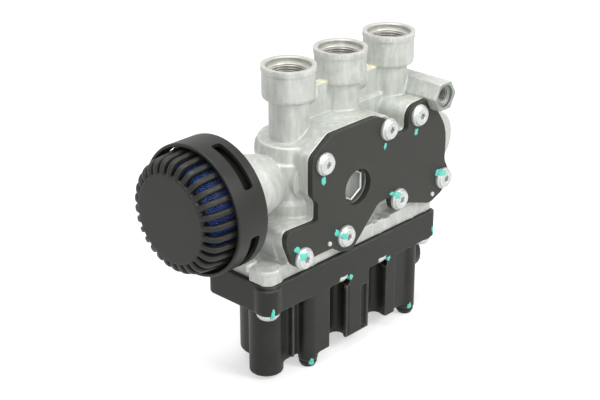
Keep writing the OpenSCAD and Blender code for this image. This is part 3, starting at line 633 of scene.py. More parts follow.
# a painted highlight for the plug's chamfer and the rim of its well
edgeHighlightAlloy = castMaterial("edgeHighlightAlloy", (212, 215, 210), (180, 184, 178), (232, 235, 230),
                         rough=0.4, bump=0.1, metallic=0.3, patch=120.0, grain=2600.0)
creamStain = castMaterial("creamStain", (214, 211, 178), (190, 186, 150), (228, 226, 204),
                          rough=0.6, bump=0.3, metallic=0.0)
coverCoat = grainMaterial("coverCoat", (52, 52, 48), (104, 104, 98),
                          rough=0.44, wear=0.5, bump=0.12, specular=0.22)
# painted highlight along the cover's bevelled edges
coverEdgeHighlight = grainMaterial("coverEdgeHighlight", (112, 112, 106), (140, 140, 134),
                          rough=0.4, wear=0.6, bump=0.1, specular=0.4)
# the housing's raised edges carry edge wear and a painted highlight
housingNylon = grainMaterial("housingNylon", (35, 35, 31), (104, 104, 98),
                             rough=0.44, wear=0.5, bump=0.2, specular=0.28, edges=0.8)
silencerNylon = grainMaterial("silencerNylon", (35, 35, 32), (84, 84, 78),
                              rough=0.42, wear=0.5, bump=0.2, specular=0.3)
zincPlate = castMaterial("zincPlate", (198, 202, 198), (150, 153, 152), (222, 225, 222),
                         rough=0.38, bump=0.08, metallic=0.55, patch=300.0, grain=3000.0)
blackSteel = grainMaterial("blackSteel", (40, 40, 39), (96, 96, 94),
                           rough=0.4, wear=0.5, bump=0.1, metallic=0.4, specular=0.3)
sealRubber = grainMaterial("sealRubber", (30, 30, 30), (60, 60, 58), rough=0.62, wear=0.4, bump=0.15)
orangeRubber = grainMaterial("orangeRubber", (196, 96, 44), (214, 140, 96), rough=0.6, wear=0.4, bump=0.15)
steel = castMaterial("steel", (188, 190, 192), (140, 142, 146), (220, 221, 222),
                     rough=0.32, bump=0.06, metallic=1.0, patch=200.0, grain=2600.0)
copper = castMaterial("copper", (190, 112, 72), (130, 72, 44), (226, 150, 106),
                      rough=0.34, bump=0.1, metallic=0.9, patch=300.0, grain=3000.0)
bobbinPlastic = grainMaterial("bobbinPlastic", (206, 198, 172), (226, 220, 200),
                              rough=0.5, wear=0.4, bump=0.1)
contactMetal = castMaterial("contactMetal", (214, 196, 140), (160, 140, 90), (240, 226, 180),
                            rough=0.26, bump=0.05, metallic=1.0, patch=300.0, grain=3000.0)
paint = grainMaterial("torquePaint", (92, 206, 188), (160, 234, 222),
                      rough=0.35, wear=0.4, bump=0.1, grain=1500.0)
yarnBlue = grainMaterial("yarnBlue", (38, 82, 166), (130, 172, 232),
                         rough=0.24, wear=1.0, bump=0.1, metallic=0.75, grain=1200.0)
# painted shade: the cup behind the yarn is a dark navy that stands in for the shade in the gaps between
# threads
shadedCupBlue = grainMaterial("shadedCupBlue", (14, 20, 54), (30, 44, 110),
                        rough=0.5, wear=0.8, bump=0.2, grain=1200.0)
print("materials ready")


# the casting

bodySettings = {
    "skin": {"voxel": 0.56, "steps": 5, "fill": 0.5, "trim": 0.08, "keepTriangles": 156000, "shadeAngle": 32},
    "held": {"share": 0.55, "lip": 9, "lipFade": 5, "hexagon": 13, "hexagonFade": 2, "hexagonY": -26,
             "depthFade": 3},
    "ports": (-45.0, 0.0, 45.0),
    "collar": ((16.0, 0), (16.0, 15.0), (16.5, 15.6), (16.5, 20.5)),  # radius, height above its foot
    "collarFoot": 18.5,  # below the port's top
    "mouth": ((10.3, -4.2), (11.25, -3.0), (13.25, -3.0), (13.5, -2.75), (13.5, -0.7), (14.3, 0.1),
              (14.3, 2)),  # radius, height from the port's top
    "portThread": {"core": 20.4, "major": 21.9, "pitch": 1.5, "length": 14.5},
    "portThreadFoot": 17.0,  # below the port's top
    "channel": 11.0,
    "channelEnd": (43.0, 40.8, 45.8),
    "webs": ((-45, 171.6), (0, 169.4)),  # x of the port at its left end, height of its top
    "web": {"length": 45, "half": 3, "deep": 20, "stain": (24, 33), "stainHalf": 4, "stainNear": 0.7},
    "webBoss": {"diameter": 11, "length": 17.6, "y": -2, "below": 4.6},
    "pistons": ((-41, 43), (14, 44.8), (52, 45.8)),
    "coverScrews": ((-46.5, 66.1), (10.4, 71.6), (39.5, 72.6), (66.4, 22.1), (22.1, 21.7),
                    (-27.5, 13.2), (-64.5, 11.5)),
    "pins": ((-41.6, 12.8), (56.2, 13.9)),
    "plug": (-16, 41.6),
    "plugWell": ((13.7, -1.0), (13.1, 0.0), (12.5, 0.6), (12.5, 1.7), (12.5, 6.0)),  # radius, depth
    "sidePort": (57.3, 81.8),
    "sideFace": -36.9,
    "sideStart": -37.0,  # where the thread and its mouth start
    "sideThread": {"core": 10.4, "major": 11.6, "pitch": 1.5, "length": 15},
    "sideMouth": ((7.6, -0.5), (7.4, 0), (7.0, 0.5), (6.9, 2.2), (6.0, 2.9), (5.2, 3.6)),  # radius, depth
    "baseScrews": ((-85.5, -21.5), (-25, -21.5), (11.5, -21.5), (56, -21.5), (-85.5, 16.5), (56, 16.5),
                   (-51.3, -21.8), (42.3, -21.8), (-38, 17), (8, 17)),
    "rearScrews": ((-40, 63), (40, 63), (0, 22)),
    "rearThread": {"core": 6.8, "major": 7.9, "pitch": 1.25, "length": 13},
    "rearThreadStart": 12,
    "coils": (-61, -15, 31),
    "nozzle": {"radius": 2.5, "height": 3.4, "below": 3},
    "earPad": {"place": (-85.5, -21.5), "above": 8, "diameter": 15, "thick": 2.4},
    "notch": ((-100, -11.5, -2), (-88.2, 8, 15)),  # two corners, z above the lower face
    "frontStrip": ((31, -25.1, 0.8), (60, -8, 14)),
    "neckCurve": ((20.0, 22.0), (19.5, 25.0), (18.4, 29.0), (17.4, 33.0), (16.6, 36.0)),  # radius, depth
    "neckClear": 20.6,
    "closing": {  # start from its face, diameter and length of the rods that close each bore at first
        "port": (-90, 22, 88), "piston": (-0.5, 21, 38), "plugWell": (-0.5, 26, 9),
        "plugBore": (3, 17.5, 32), "sidePort": (-10.6, 11.5, 38), "neck": (0.4, 33, 32),
        "coverScrew": (-0.5, 8, 18), "pin": (-0.5, 5, 10), "baseScrew": (-0.4, 8, 9.6),
        "rearScrew": (36, 9, 14.5)},
    "bores": {  # the same for the rods that cut it in the end
        "piston": (-1, 20, 37), "plug": (5, 16.04, 13.5), "checkValve": (18, 13, 14),
        "sideChannel": (3, 5, 20), "neck": (-0.7, 31, 30.7), "coverScrew": (-1, 6.04, 15),
        "pin": (-1, 3.04, 8), "baseScrew": (-1, 6.04, 10.6)},
    "screwSteps": 24,
}
far = 0.3  # beyond the object on every side, in metres


def onFace(p, y):
    # p is x and the height above the casting's lower face
    return at(p[0], y, groundToBody + p[1])


def cornersFromBase(pair):
    return [at(x, y, groundToBody + z) for x, y, z in pair]


def faceRods(places, size, steps=48):
    start, diameter, length = size
    return [rod(onFace(p, frontFace + start), "y", diameter, length, steps) for p in places]


def baseRods(places, size, steps):
    start, diameter, length = size
    return [rod(at(*p, groundToBody + start), "z", diameter, length, steps) for p in places]


def neckRod(size, steps=48):
    start, diameter, length = size
    return rod(at(neckEnd + start, 0, neckHeight), "x", diameter, length, steps)


def bodyFillers():
    # what closes the bores before the skin is softened, with the pads and webs that grow out of it
    s, size, steps = bodySettings, bodySettings["closing"], bodySettings["screwSteps"]
    start, diameter, length = size["port"]
    rods = []
    for x in s["ports"]:
        rods.append(rod(at(x, 0, portTop + start), "z", diameter, length))
        rods.append(placed(turned("collar", s["collar"]), at(x, 0, portTop - s["collarFoot"])))
    rods += faceRods(s["pistons"], size["piston"])
    rods += faceRods([s["plug"]], size["plugWell"])
    rods += faceRods([s["plug"]], size["plugBore"])
    rods += faceRods([s["sidePort"]], size["sidePort"])
    rods.append(neckRod(size["neck"]))
    rods += faceRods(s["coverScrews"], size["coverScrew"], steps)
    rods += faceRods(s["pins"], size["pin"], steps)
    rods += baseRods(s["baseScrews"], size["baseScrew"], steps)
    rods += faceRods(s["rearScrews"], size["rearScrew"], steps)
    pad, web, boss = s["earPad"], s["web"], s["webBoss"]
    rods.append(rod(at(*pad["place"], groundToBody + pad["above"]), "z", pad["diameter"], pad["thick"]))
    rods.append(block(*cornersFromBase(s["frontStrip"])))
    for x, height in s["webs"]:
        rods.append(block(at(x, -web["half"], height - web["deep"]),
                          at(x + web["length"], web["half"], height)))
        rods.append(rod(at(x, boss["y"], height - boss["below"]), "x", boss["diameter"], boss["length"], 32))
    return rods


def neckTrim():
    # takes the neck's shoulder down to a slimmer one
    curve, clear = bodySettings["neckCurve"], bodySettings["neckClear"]
    rings = [ring(r, z, 96) for r, z in curve]
    rings += [ring(clear, curve[-1][1], 96), ring(clear, curve[0][1] - 0.5, 96),
              ring(curve[0][0] + 0.1, curve[0][1] - 0.5, 96)]
    return placed(flipIfInside(fromRings("shoulder", rings, closed=True)), at(neckEnd, 0, neckHeight), "x")


def holdEdges(co):
    # the turned lips and the side port's hexagon keep more of their edges
    s = bodySettings["held"]
    sideX, sideZ = bodySettings["sidePort"]
    height = co[:, 2] / mm
    side = np.hypot(co[:, 0] / mm - rowX - sideX, height - groundToBody - sideZ)
    lips = np.clip((height - portTop + s["lip"]) / s["lipFade"], 0, 1)
    hexagon = np.clip((s["hexagon"] - side) / s["hexagonFade"], 0, 1)
    hexagon *= np.clip((s["hexagonY"] - co[:, 1] / mm) / s["depthFade"], 0, 1)
    return 1 - s["share"] * np.maximum(lips, hexagon)


def makeBody():
    s = bodySettings["skin"]
    body = combine(copyOfNode("valve_body", "castBody"), neckTrim())
    combine(body, block(*cornersFromBase(bodySettings["notch"])))
    body = joined("castBody", [body] + bodyFillers())
    remeshed(body, s["voxel"])
    print("casting skin:", len(body.data.polygons), "faces")
    soften(body, s["steps"], s["fill"], s["trim"], holdEdges)
    decimated(body, s["keepTriangles"])
    cutFaces(body)
    cutPorts(body)
    cutFront(body)
    cutSidePort(body)
    combine(body, neckRod(bodySettings["bores"]["neck"], 64))
    cutScrewHoles(body)
    nozzle = bodySettings["nozzle"]
    nozzles = [placed(turned("nozzle", [(nozzle["radius"], 0), (nozzle["radius"], nozzle["height"])], 24),
                      at(x, 0, groundToBody - nozzle["below"])) for x in bodySettings["coils"]]
    combine(body, joined("nozzles", nozzles), "UNION")
    return body


def cutFaces(body):
    # the machined faces, cut flat
    combine(body, block((-far, -far, portTop * mm), (far, far, far)))
    combine(body, block((-far, -far, -0.01), (far, far, groundToBody * mm)))
    combine(body, block((-far, backFace * mm, 0), (far, far, far)))
    gasket = copyOfNode("cover_gasket", "faceCut")
    for v in gasket.data.vertices:
        v.co.y = (frontFace if v.co.y > (frontFace - 0.5) * mm else coverFace + 0.1) * mm
    combine(body, gasket)
    combine(body, block((-far, -far, 0), (at(neckEnd, 0, 0).x, far, far)))


def cutPorts(body):
    s = bodySettings
    for x in s["ports"]:
        combine(body, placed(turned("mouth", s["mouth"]), at(x, 0, portTop)))
        cutThread(body, s["portThread"], at(x, 0, portTop - s["portThreadFoot"]), "z", 64)
    for x, low in zip(s["ports"], s["channelEnd"]):
        top = portTop - s["portThreadFoot"] + 0.2
        low = groundToBody + low
        combine(body, rod(at(x, 0, low), "z", s["channel"], top - low))


def cutFront(body):
    s, size = bodySettings, bodySettings["bores"]
    for bore in faceRods(s["pistons"], size["piston"], 64):
        combine(body, bore)
    combine(body, placed(turned("well", s["plugWell"], 64), onFace(s["plug"], frontFace), "y"))
    for part in ("plug", "checkValve"):
        combine(body, faceRods([s["plug"]], size[part])[0])


def cutSidePort(body):
    s = bodySettings
    combine(body, block((-far, -far, 0), (far, s["sideFace"] * mm, far)))
    place = onFace(s["sidePort"], s["sideStart"])
    cutThread(body, s["sideThread"], place, "y", 40)
    combine(body, placed(turned("sink", s["sideMouth"], 48), place, "y"))
    combine(body, faceRods([s["sidePort"]], s["bores"]["sideChannel"], 24)[0])


def cutScrewHoles(body):
    s, size, steps = bodySettings, bodySettings["bores"], bodySettings["screwSteps"]
    small = faceRods(s["coverScrews"], size["coverScrew"], steps) + faceRods(s["pins"], size["pin"], steps)
    combine(body, joined("small", small + baseRods(s["baseScrews"], size["baseScrew"], steps)))
    for p in s["rearScrews"]:
        cutThread(body, s["rearThread"], onFace(p, s["rearThreadStart"]), "y", 32)


finishAndPaintedLightSettings = {  # where the machined and milled surfaces lie, and the rim with its painted highlight, in mm
    "near": 0.02, "square": 0.99,
    "portRadius": 14.4, "portDepth": 18, "neckRadius": 15.6, "neckTo": -70, "rearRadius": 4.1, "rearFrom": 11,
    "sideRadius": 7.5, "sideTo": -20, "hexRadius": 13, "hexTo": -36.8, "wellRadius": 12.6, "wellTo": -15,
    "rim": (12.3, 13.3), "rimTo": -24.2, "steep": 0.95,
}


def giveFinishesAndPaintedLight(body):
    # cast skin is 0, machined 1, milled with painted shade in the bores 2, a painted highlight on the plug
    # well's rim 3 and the stain on the webs 4
    s, places = finishAndPaintedLightSettings, bodySettings
    mesh = body.data
    count = len(mesh.polygons)
    centre, normal = np.zeros(count * 3), np.zeros(count * 3)
    mesh.polygons.foreach_get("center", centre)
    mesh.polygons.foreach_get("normal", normal)
    centre, normal = centre.reshape(-1, 3) / mm, normal.reshape(-1, 3)
    x, y, z = centre[:, 0] - rowX, centre[:, 1], centre[:, 2]
    facing = normal[:, 1]

    def fromAxis(p):
        return np.hypot(x - p[0], z - groundToBody - p[1])
    near = s["near"]
    cut = (z > portTop - near) | (y > backFace - near) | (z < groundToBody + near) | (x < neckEnd + near)
    cut |= (np.abs(y - frontFace) < near) & (facing < -s["square"])
    for px in places["ports"]:
        cut |= (np.hypot(x - px, y) < s["portRadius"]) & (z > portTop - s["portDepth"])
    cut |= (np.hypot(y, z - neckHeight) < s["neckRadius"]) & (x < s["neckTo"])
    for p in places["rearScrews"]:
        cut |= (fromAxis(p) < s["rearRadius"]) & (y > s["rearFrom"])
    fromSide, fromPlug = fromAxis(places["sidePort"]), fromAxis(places["plug"])
    # milled faces take the darker grey, partly painted shade in the side port's bore and the plug's well
    milled = (fromSide < s["sideRadius"]) & (y < s["sideTo"])
    milled |= (fromSide < s["hexRadius"]) & (y < s["hexTo"]) & (facing < -s["steep"])
    milled |= (fromPlug < s["wellRadius"]) & (y < s["wellTo"])
    # painted highlight on the rim of the plug's well
    inner, outer = s["rim"]
    bright = (fromPlug < outer) & (fromPlug > inner) & (y < s["rimTo"]) & (facing > -s["steep"])
    index = np.where(bright, 3, np.where(milled, 2, cut))
    web = places["web"]
    low, high = web["stain"]
    for px, height in places["webs"]:
        index[(x > px + low) & (x < px + high) & (np.abs(y) < web["stainHalf"])
              & (np.abs(z - height) < web["stainNear"])] = 4
    mesh.polygons.foreach_set("material_index", index.astype(np.int32))
    mesh.update()


body = makeBody()
shade(body, bodySettings["skin"]["shadeAngle"])
finishPiece(body, "castBody", [castAlloy, machinedAlloy, milledAndShadedAlloy, edgeHighlightAlloy, creamStain],
            ["valve_body"])
giveFinishesAndPaintedLight(body)


# cover plate, screws, pins and the hexagon plug

coverSettings = {"edge": 0.45, "segments": 3, "bevelAngle": 50, "shadeAngle": 60, "highlightedEdge": (-0.9, -0.35)}


def makeCover():
    s = coverSettings
    cover = copyOfNode("cover_plate", "coverPlate")
    bevelled(cover, s["edge"], s["segments"], s["bevelAngle"])
    shade(cover, s["shadeAngle"])
    evenShading(cover)
    levelFaces(cover)
    finishPiece(cover, "coverPlate", [coverCoat, coverEdgeHighlight], ["cover_plate"])
    low, high = s["highlightedEdge"]  # the bevel's faces, by the y of their normals, take the painted highlight
    for p in cover.data.polygons:
        p.material_index = int(low < p.normal.y < high)
    return cover


cover = makeCover()

screwSettings = {
    "cover": {"head": 14.0, "height": 4.0, "thread": 6.0, "length": 16.0},
    "flange": {"head": 14.0, "height": 4.0, "thread": 6.0, "length": 26.5},
    "raised": {"head": 14.0, "height": 4.0, "thread": 6.0, "length": 23.5},
    "sunk": {"head": 11.0, "height": 4.0, "thread": 6.0, "length": 22.1},
    "column": {"head": 11.4, "height": 4.5, "thread": 6.0, "length": 71.2},
    "steps": 48,
    "shadeAngle": 38,
    "pitch": 1.0,
    "coreUnder": 0.55,  # how far the thread's core lies under the shank's radius
    "threadDepth": 0.53,
    "threadRows": 5,
    "threadEnd": 0.8,  # plain length at the tip
    "longestThread": 24,
    "recess": {"radius": 0.31, "lobe": 0.16, "bottom": 0.6,
               "walls": ((0.55, 0.62), (0.88, 0.56)),  # share of the recess, share of the head's height
               "rim": ((0.94, 0.35), (1.04, 0.06), (1.12, 0.0))},  # share of the recess, depth in mm
    "crown": ((0.62, 0.03), (0.70, 0.045), (0.76, 0.07), (0.805, 0.12), (0.835, 0.2), (0.85, 0.3),
              (0.87, 0.36), (0.93, 0.43), (0.965, 0.5), (0.99, 0.6), (1.0, 0.72), (1.0, 0.93), (0.985, 1.0)),
}


def screw(kind):
    # head below the origin, shank above it; the recess has six round lobes
    common, s = screwSettings, screwSettings[kind]
    head, height, length = s["head"] / 2, s["height"], s["length"]
    steps, pitch, recess = common["steps"], common["pitch"], common["recess"]
    star = head * recess["radius"]

    def lobes(scale):
        return lambda a: star * scale * (1 + recess["lobe"] * math.cos(6 * a))
    rings = [ring(lobes(r), -height + height * z, steps) for r, z in recess["walls"]]
    rings += [ring(lobes(r), -height + z, steps) for r, z in recess["rim"]]
    rings += [ring(head * r, -height + height * z, steps) for r, z in common["crown"]]
    rings.append(ring(s["thread"] / 2, 0, steps))
    threadFrom = max(1.0, length - common["longestThread"])
    threadLength = length - threadFrom - common["threadEnd"]
    rings.append(ring(s["thread"] / 2 - 0.05, threadFrom - 0.5, steps))
    rows = int(threadLength / pitch * common["threadRows"])
    core = s["thread"] / 2 - common["coreUnder"]
    for k in range(rows + 1):
        z = threadFrom + threadLength * k / rows

        def radius(a, z=z):
            return core + common["threadDepth"] * threadRise(a, z, pitch, threadForm["rolledCrest"])
        rings.append(ring(radius, z, steps))
    rings.append(ring(core - 0.2, length, steps))
    bottom = (0, 0, (-height + height * recess["bottom"]) * mm)
    return fromRings("screw", rings, bottom)


def makeScrews(name, kinds, places, axis, material, node, seed):
    dice = random.Random(seed)
    made = []
    for kind, place in zip(kinds, places):
        one = screw(kind)
        spin = Matrix.Rotation(dice.uniform(0, 2 * math.pi), 4, "Z")
        one.data.transform(Matrix.Translation(place) @ axisTurn(axis) @ spin)
        made.append(one)
    obj = joined(name, made)
    shade(obj, screwSettings["shadeAngle"])
    return finishPiece(obj, name, [material], [node])


coverScrews = makeScrews("coverScrews", ["cover"] * 7,
                         [onFace(p, coverFace) for p in bodySettings["coverScrews"]],
                         "y", zincPlate, "cover_screws", 3)
flangeKinds = ["flange", "raised", "raised", "flange", "sunk", "sunk"]
screwSeats = {"flange": 50.2, "raised": 53.2, "sunk": 54.6, "column": 4.5}
flangeScrews = makeScrews("flangeScrews", flangeKinds,
                          [at(*p, screwSeats[k]) for p, k in zip(bodySettings["baseScrews"], flangeKinds)],
                          "z", zincPlate, "flange_screws", 4)
columnScrews = makeScrews("columnScrews", ["column"] * 4,
                          [at(*p, screwSeats["column"]) for p in bodySettings["baseScrews"][6:]],
                          "z", blackSteel, "column_screws", 5)

pinSettings = {"radius": 1.5, "length": 11.0, "round": 0.45, "stand": 1.2, "shadeAngle": 50,
               "end": ((1.0, 0.0), (0.45, 0.16), (0.12, 0.5), (0.0, 1.0))}  # shares of the rounding


def makePins():
    s = pinSettings
    r, c, length = s["radius"], s["round"], s["length"]
    profile = [(r - c * inward, c * up) for inward, up in s["end"]] + [(r, length - c), (r - c, length)]
    made = [placed(turned("pin", profile, 32), onFace(p, coverFace - s["stand"]), "y")
            for p in bodySettings["pins"]]
    pins = joined("locatingPins", made)
    shade(pins, s["shadeAngle"])
    return finishPiece(pins, "locatingPins", [zincPlate], ["locating_pins"])


makePins()

plugSettings = {"inset": 1.0, "drop": 0.5, "shadeAngle": 20, "highlightedEdge": (-0.97, -0.1)}


def makePlug():
    s = plugSettings
    plug = copyOfNode("bore_plug", "borePlug")
    work = bmesh.new()
    work.from_mesh(plug.data)
    mergeFlatFaces(work)
    front = min(work.faces, key=lambda f: f.calc_center_median().y)
    corners = list(front.verts)
    bmesh.ops.inset_region(work, faces=[front], thickness=s["inset"] * mm, depth=0.0)
    for v in corners:
        v.co.y += s["drop"] * mm
    work.to_mesh(plug.data)
    work.free()
    shade(plug, s["shadeAngle"])
    # the plug's face takes the darker milled grey, partly painted shade in its well
    finishPiece(plug, "borePlug", [milledAndShadedAlloy, edgeHighlightAlloy], ["bore_plug"])
    low, high = s["highlightedEdge"]  # the chamfer's faces, by the y of their normals, take a painted highlight
    for p in plug.data.polygons:
        p.material_index = int(low < p.normal.y < high)
    return plug


makePlug()


# solenoid housing

housingSettings = {"voxel": 0.7, "steps": 5, "fill": 0.4, "trim": 0.3, "keepTriangles": 150000,
                   "shadeAngle": 45,
                   "counterbore": {"from": 40, "diameter": 11.8, "length": 14.6}}


def makeHousing():
    s = housingSettings
    bore = s["counterbore"]
    housing = copyOfNode("solenoid_housing", "solenoidHousing")
    remeshed(housing, s["voxel"])
    print("housing skin:", len(housing.data.polygons), "faces")
    soften(housing, s["steps"], s["fill"], s["trim"])
    decimated(housing, s["keepTriangles"])
    for p in bodySettings["baseScrews"][4:6]:
        combine(housing, rod(at(*p, bore["from"]), "z", bore["diameter"], bore["length"]))
    shade(housing, s["shadeAngle"])
    return finishPiece(housing, "solenoidHousing", [housingNylon], ["solenoid_housing"])


housing = makeHousing()


# silencer

silencerSettings = {  # z runs outward from the neck's end; an outline is radius, z
    "shroudRadius": 39.5, "shroudWidth": 22.8, "wall": 2.2, "back": 2.5, "innerStep": 0.5, "steps": 180,
    "backEdge": ((1.6, 0), (0.75, 0.25), (0.2, 0.8), (0, 1.6)),  # inward, z
    "frontEdge": ((0, 0.9), (0.18, 0.35), (0.6, 0)),  # inward, down from the front
    "slotFrom": 30.0, "slotLength": 49.0, "slotWidth": 6.8, "slotCentre": 10.2, "slotCorner": 1.0,
    "slotRows": 28, "slots": 4, "besideSlots": (0.3, 0.04),
    "spigot": 15.4, "spigotLength": 20.0, "spigotWall": 3, "spigotChamfer": 0.6,
    "groove": (-15.0, -12.4), "grooveDepth": 2.0,
    "top": 38.9, "slats": 30, "slatWidth": 3.6, "slatThick": 3.4, "slatRows": 34, "slatRound": (1.1, 0.4),
    "path": ((23.0, 38.9), (26.2, 38.85), (28.6, 38.4), (30.9, 37.3), (32.8, 35.6), (34.0, 33.3),
             (34.6, 30.5), (34.95, 26.8), (35.6, 21.2), (36.0, 17.5), (36.0, 15.0)),
    "disc": ((25.0, 3.4), (26.6, 3.0), (26.9, 1.0), (26.6, 0.35), (25.9, 0.06), (25.2, 0)),  # radius, down
    "foot": ((33.6, 2.5), (33.6, 14.2), (35.7, 14.22), (36.0, 14.6), (36.0, 16.4), (35.2, 17.0)),
    "footHollow": ((32.7, 1.0), (32.7, 18.0)),
    "shroudShadeAngle": 35, "basketShadeAngle": 40,
}


def onNeck(obj):
    return placed(obj, at(neckEnd, 0, neckHeight), "-x")


def smoothPath(points, count, perSpan=12):
    # a rounded curve through the points, evenly spaced
    dense = []
    n = len(points)
    for k in range(n - 1):
        p0, p1 = np.array(points[max(k - 1, 0)], float), np.array(points[k], float)
        p2, p3 = np.array(points[k + 1], float), np.array(points[min(k + 2, n - 1)], float)
        for t in np.linspace(0, 1, perSpan, endpoint=False):
            dense.append(0.5 * (2 * p1 + (p2 - p0) * t + (2 * p0 - 5 * p1 + 4 * p2 - p3) * t ** 2
                                + (3 * p1 - p0 - 3 * p2 + p3) * t ** 3))
    dense.append(np.array(points[-1], float))
    dense = np.array(dense)
    run = np.concatenate([[0], np.cumsum(np.linalg.norm(np.diff(dense, axis=0), axis=1))])
    where = np.linspace(0, run[-1], count)
    return np.stack([np.interp(where, run, dense[:, j]) for j in range(dense.shape[1])], 1)


def makeSlats():
    s = silencerSettings
    path = smoothPath(s["path"], s["slatRows"])
    tangent = np.gradient(path, axis=0)
    tangent /= np.linalg.norm(tangent, axis=1)[:, None]
    outward = np.stack([-tangent[:, 1], tangent[:, 0]], 1)
    section = roundedSection(s["slatWidth"], s["slatThick"], *s["slatRound"])
    made = []
    for k in range(s["slats"]):
        a = 2 * math.pi * k / s["slats"]
        rings = []
        for p, n in zip(path, outward):
            points = []
            for across, deep in section:
                r, z = p[0] + n[0] * deep, p[1] + n[1] * deep
                points.append(((r * math.cos(a) - across * math.sin(a)) * mm,
                               (r * math.sin(a) + across * math.cos(a)) * mm, z * mm))
            rings.append(points)
        made.append(fromRings("slat", rings))
    return joined("slats", made)


def roundedSection(width, thick, outer, inner, steps=4):
    # across, and outward from the outer face; the outer corners are the rounder ones
    half = width / 2
    points = []
    for cx, cy, r, start in ((half - outer, -outer, outer, 0), (-half + outer, -outer, outer, 90),
                             (-half + inner, -thick + inner, inner, 180),
                             (half - inner, -thick + inner, inner, 270)):
        for t in range(steps + 1):
            a = math.radians(start + 90 * t / steps)
            points.append((cx + r * math.cos(a), cy + r * math.sin(a)))
    return points


def makeBasket():
    s = silencerSettings
    disc = turned("disc", [(r, s["top"] - down) for r, down in s["disc"]], 120)
    foot = combine(turned("foot", s["foot"], 120), turned("hollow", s["footHollow"], 120))
    basket = combine(disc, flipIfInside(makeSlats()), "UNION")
    combine(basket, foot, "UNION")
    onNeck(basket)
    shade(basket, s["basketShadeAngle"])
    levelFaces(basket, 0)
    return finishPiece(basket, "silencerBasket", [silencerNylon], ["silencer_basket"])


def makeShroud():
    s = silencerSettings
    r, w, back = s["shroudRadius"], s["shroudWidth"], s["back"]
    inner = r - s["wall"]
    lower, upper = s["slotCentre"] - s["slotWidth"] / 2, s["slotCentre"] + s["slotWidth"] / 2
    profile = [(r - inward, up) for inward, up in s["backEdge"]]
    wide, tight = s["besideSlots"]  # rows of points that keep the shading even around the slots
    profile += [(r, lower - wide), (r, lower - tight), (r, upper + tight), (r, upper + wide)]
    profile += [(r - inward, w - down) for inward, down in s["frontEdge"]]
    shroud = turned("shroud", profile, s["steps"])
    step = s["innerStep"]
    combine(shroud, turned("inside", [
        (inner - step * 2, back), (inner, back + step * 2), (inner, w - step), (inner + step, w + 0.01),
        (inner + step, w + 2)], s["steps"]))
    spigot, length, chamfer = s["spigot"], s["spigotLength"], s["spigotChamfer"]
    low, high = s["groove"]
    narrow = spigot - s["grooveDepth"]
    combine(shroud, turned("spigot", [
        (spigot - chamfer, -length), (spigot, -length + chamfer), (spigot, low - 0.01), (narrow, low),
        (narrow, high), (spigot, high + 0.01), (spigot, 1.0)], 96), "UNION")
    bore = spigot - s["spigotWall"]
    combine(shroud, turned("bore", [(bore, -length - 1), (bore, back + 1)], 96))
    for k in range(s["slots"]):
        combine(shroud, slotTool(s["slotFrom"] + 360 / s["slots"] * k))
    onNeck(shroud)
    shade(shroud, s["shroudShadeAngle"])
    evenShading(shroud)
    return finishPiece(shroud, "silencerShroud", [silencerNylon], ["silencer_shroud"])


def slotTool(start):
    # a bent block with rounded ends, lying in the shroud's wall
    s = silencerSettings
    low, high = s["shroudRadius"] - s["wall"] - 1, s["shroudRadius"] + 1
    corner, rows = s["slotCorner"], s["slotRows"]
    rings = []
    for k in range(rows + 1):
        t = k / rows
        a = math.radians(start + s["slotLength"] * t)
        fromEnd = min(t, 1 - t) * math.radians(s["slotLength"]) * s["shroudRadius"]
        short = corner - math.sqrt(max(corner ** 2 - max(corner - fromEnd, 0) ** 2, 0))
        half = s["slotWidth"] / 2 - short
        rings.append([(r * math.cos(a) * mm, r * math.sin(a) * mm, (s["slotCentre"] + z) * mm)
                      for r, z in ((low, -half), (high, -half), (high, half), (low, half))])
    return flipIfInside(fromRings("slot", rings))


knitSettings = {
    "rows": 24, "loops": 112, "perLoop": 8, "sides": 3, "thread": 0.24, "seed": 11, "cupShadeAngle": 40,
    "sway": 0.16, "reach": 0.62, "uneven": 0.05, "lift": 0.32, "liftAlong": 0.3, "pathPoints": 200,
    "path": ((20.0, 34.2), (25.0, 34.2), (27.8, 33.7), (30.4, 32.2), (30.9, 29.0), (31.3, 25.0),
             (32.0, 20.0), (32.0, 10.0)),
}


def yarnLine(s, dice, path, run, row):
    # one closed thread of loops that hang into the row below
    rowStep = run[-1] / (s["rows"] + 1)
    shift = dice.uniform(0, 1)
    line = []
    for k in range(s["loops"] * s["perLoop"]):
        t = k / s["perLoop"]
        phase = 2 * math.pi * (t + shift)
        u = t + s["sway"] * math.sin(2 * phase)
        v = rowStep * (row + 1) + rowStep * s["reach"] * math.cos(phase)
        v = min(max(v + dice.uniform(-s["uneven"], s["uneven"]), 0), run[-1])
        lift = s["lift"] * math.cos(2 * phase)
        r, z = np.interp(v, run, path[:, 0]) + lift, np.interp(v, run, path[:, 1]) + lift * s["liftAlong"]
        a = 2 * math.pi * u / s["loops"]
        line.append(Vector((r * math.cos(a), r * math.sin(a), z)))
    return line


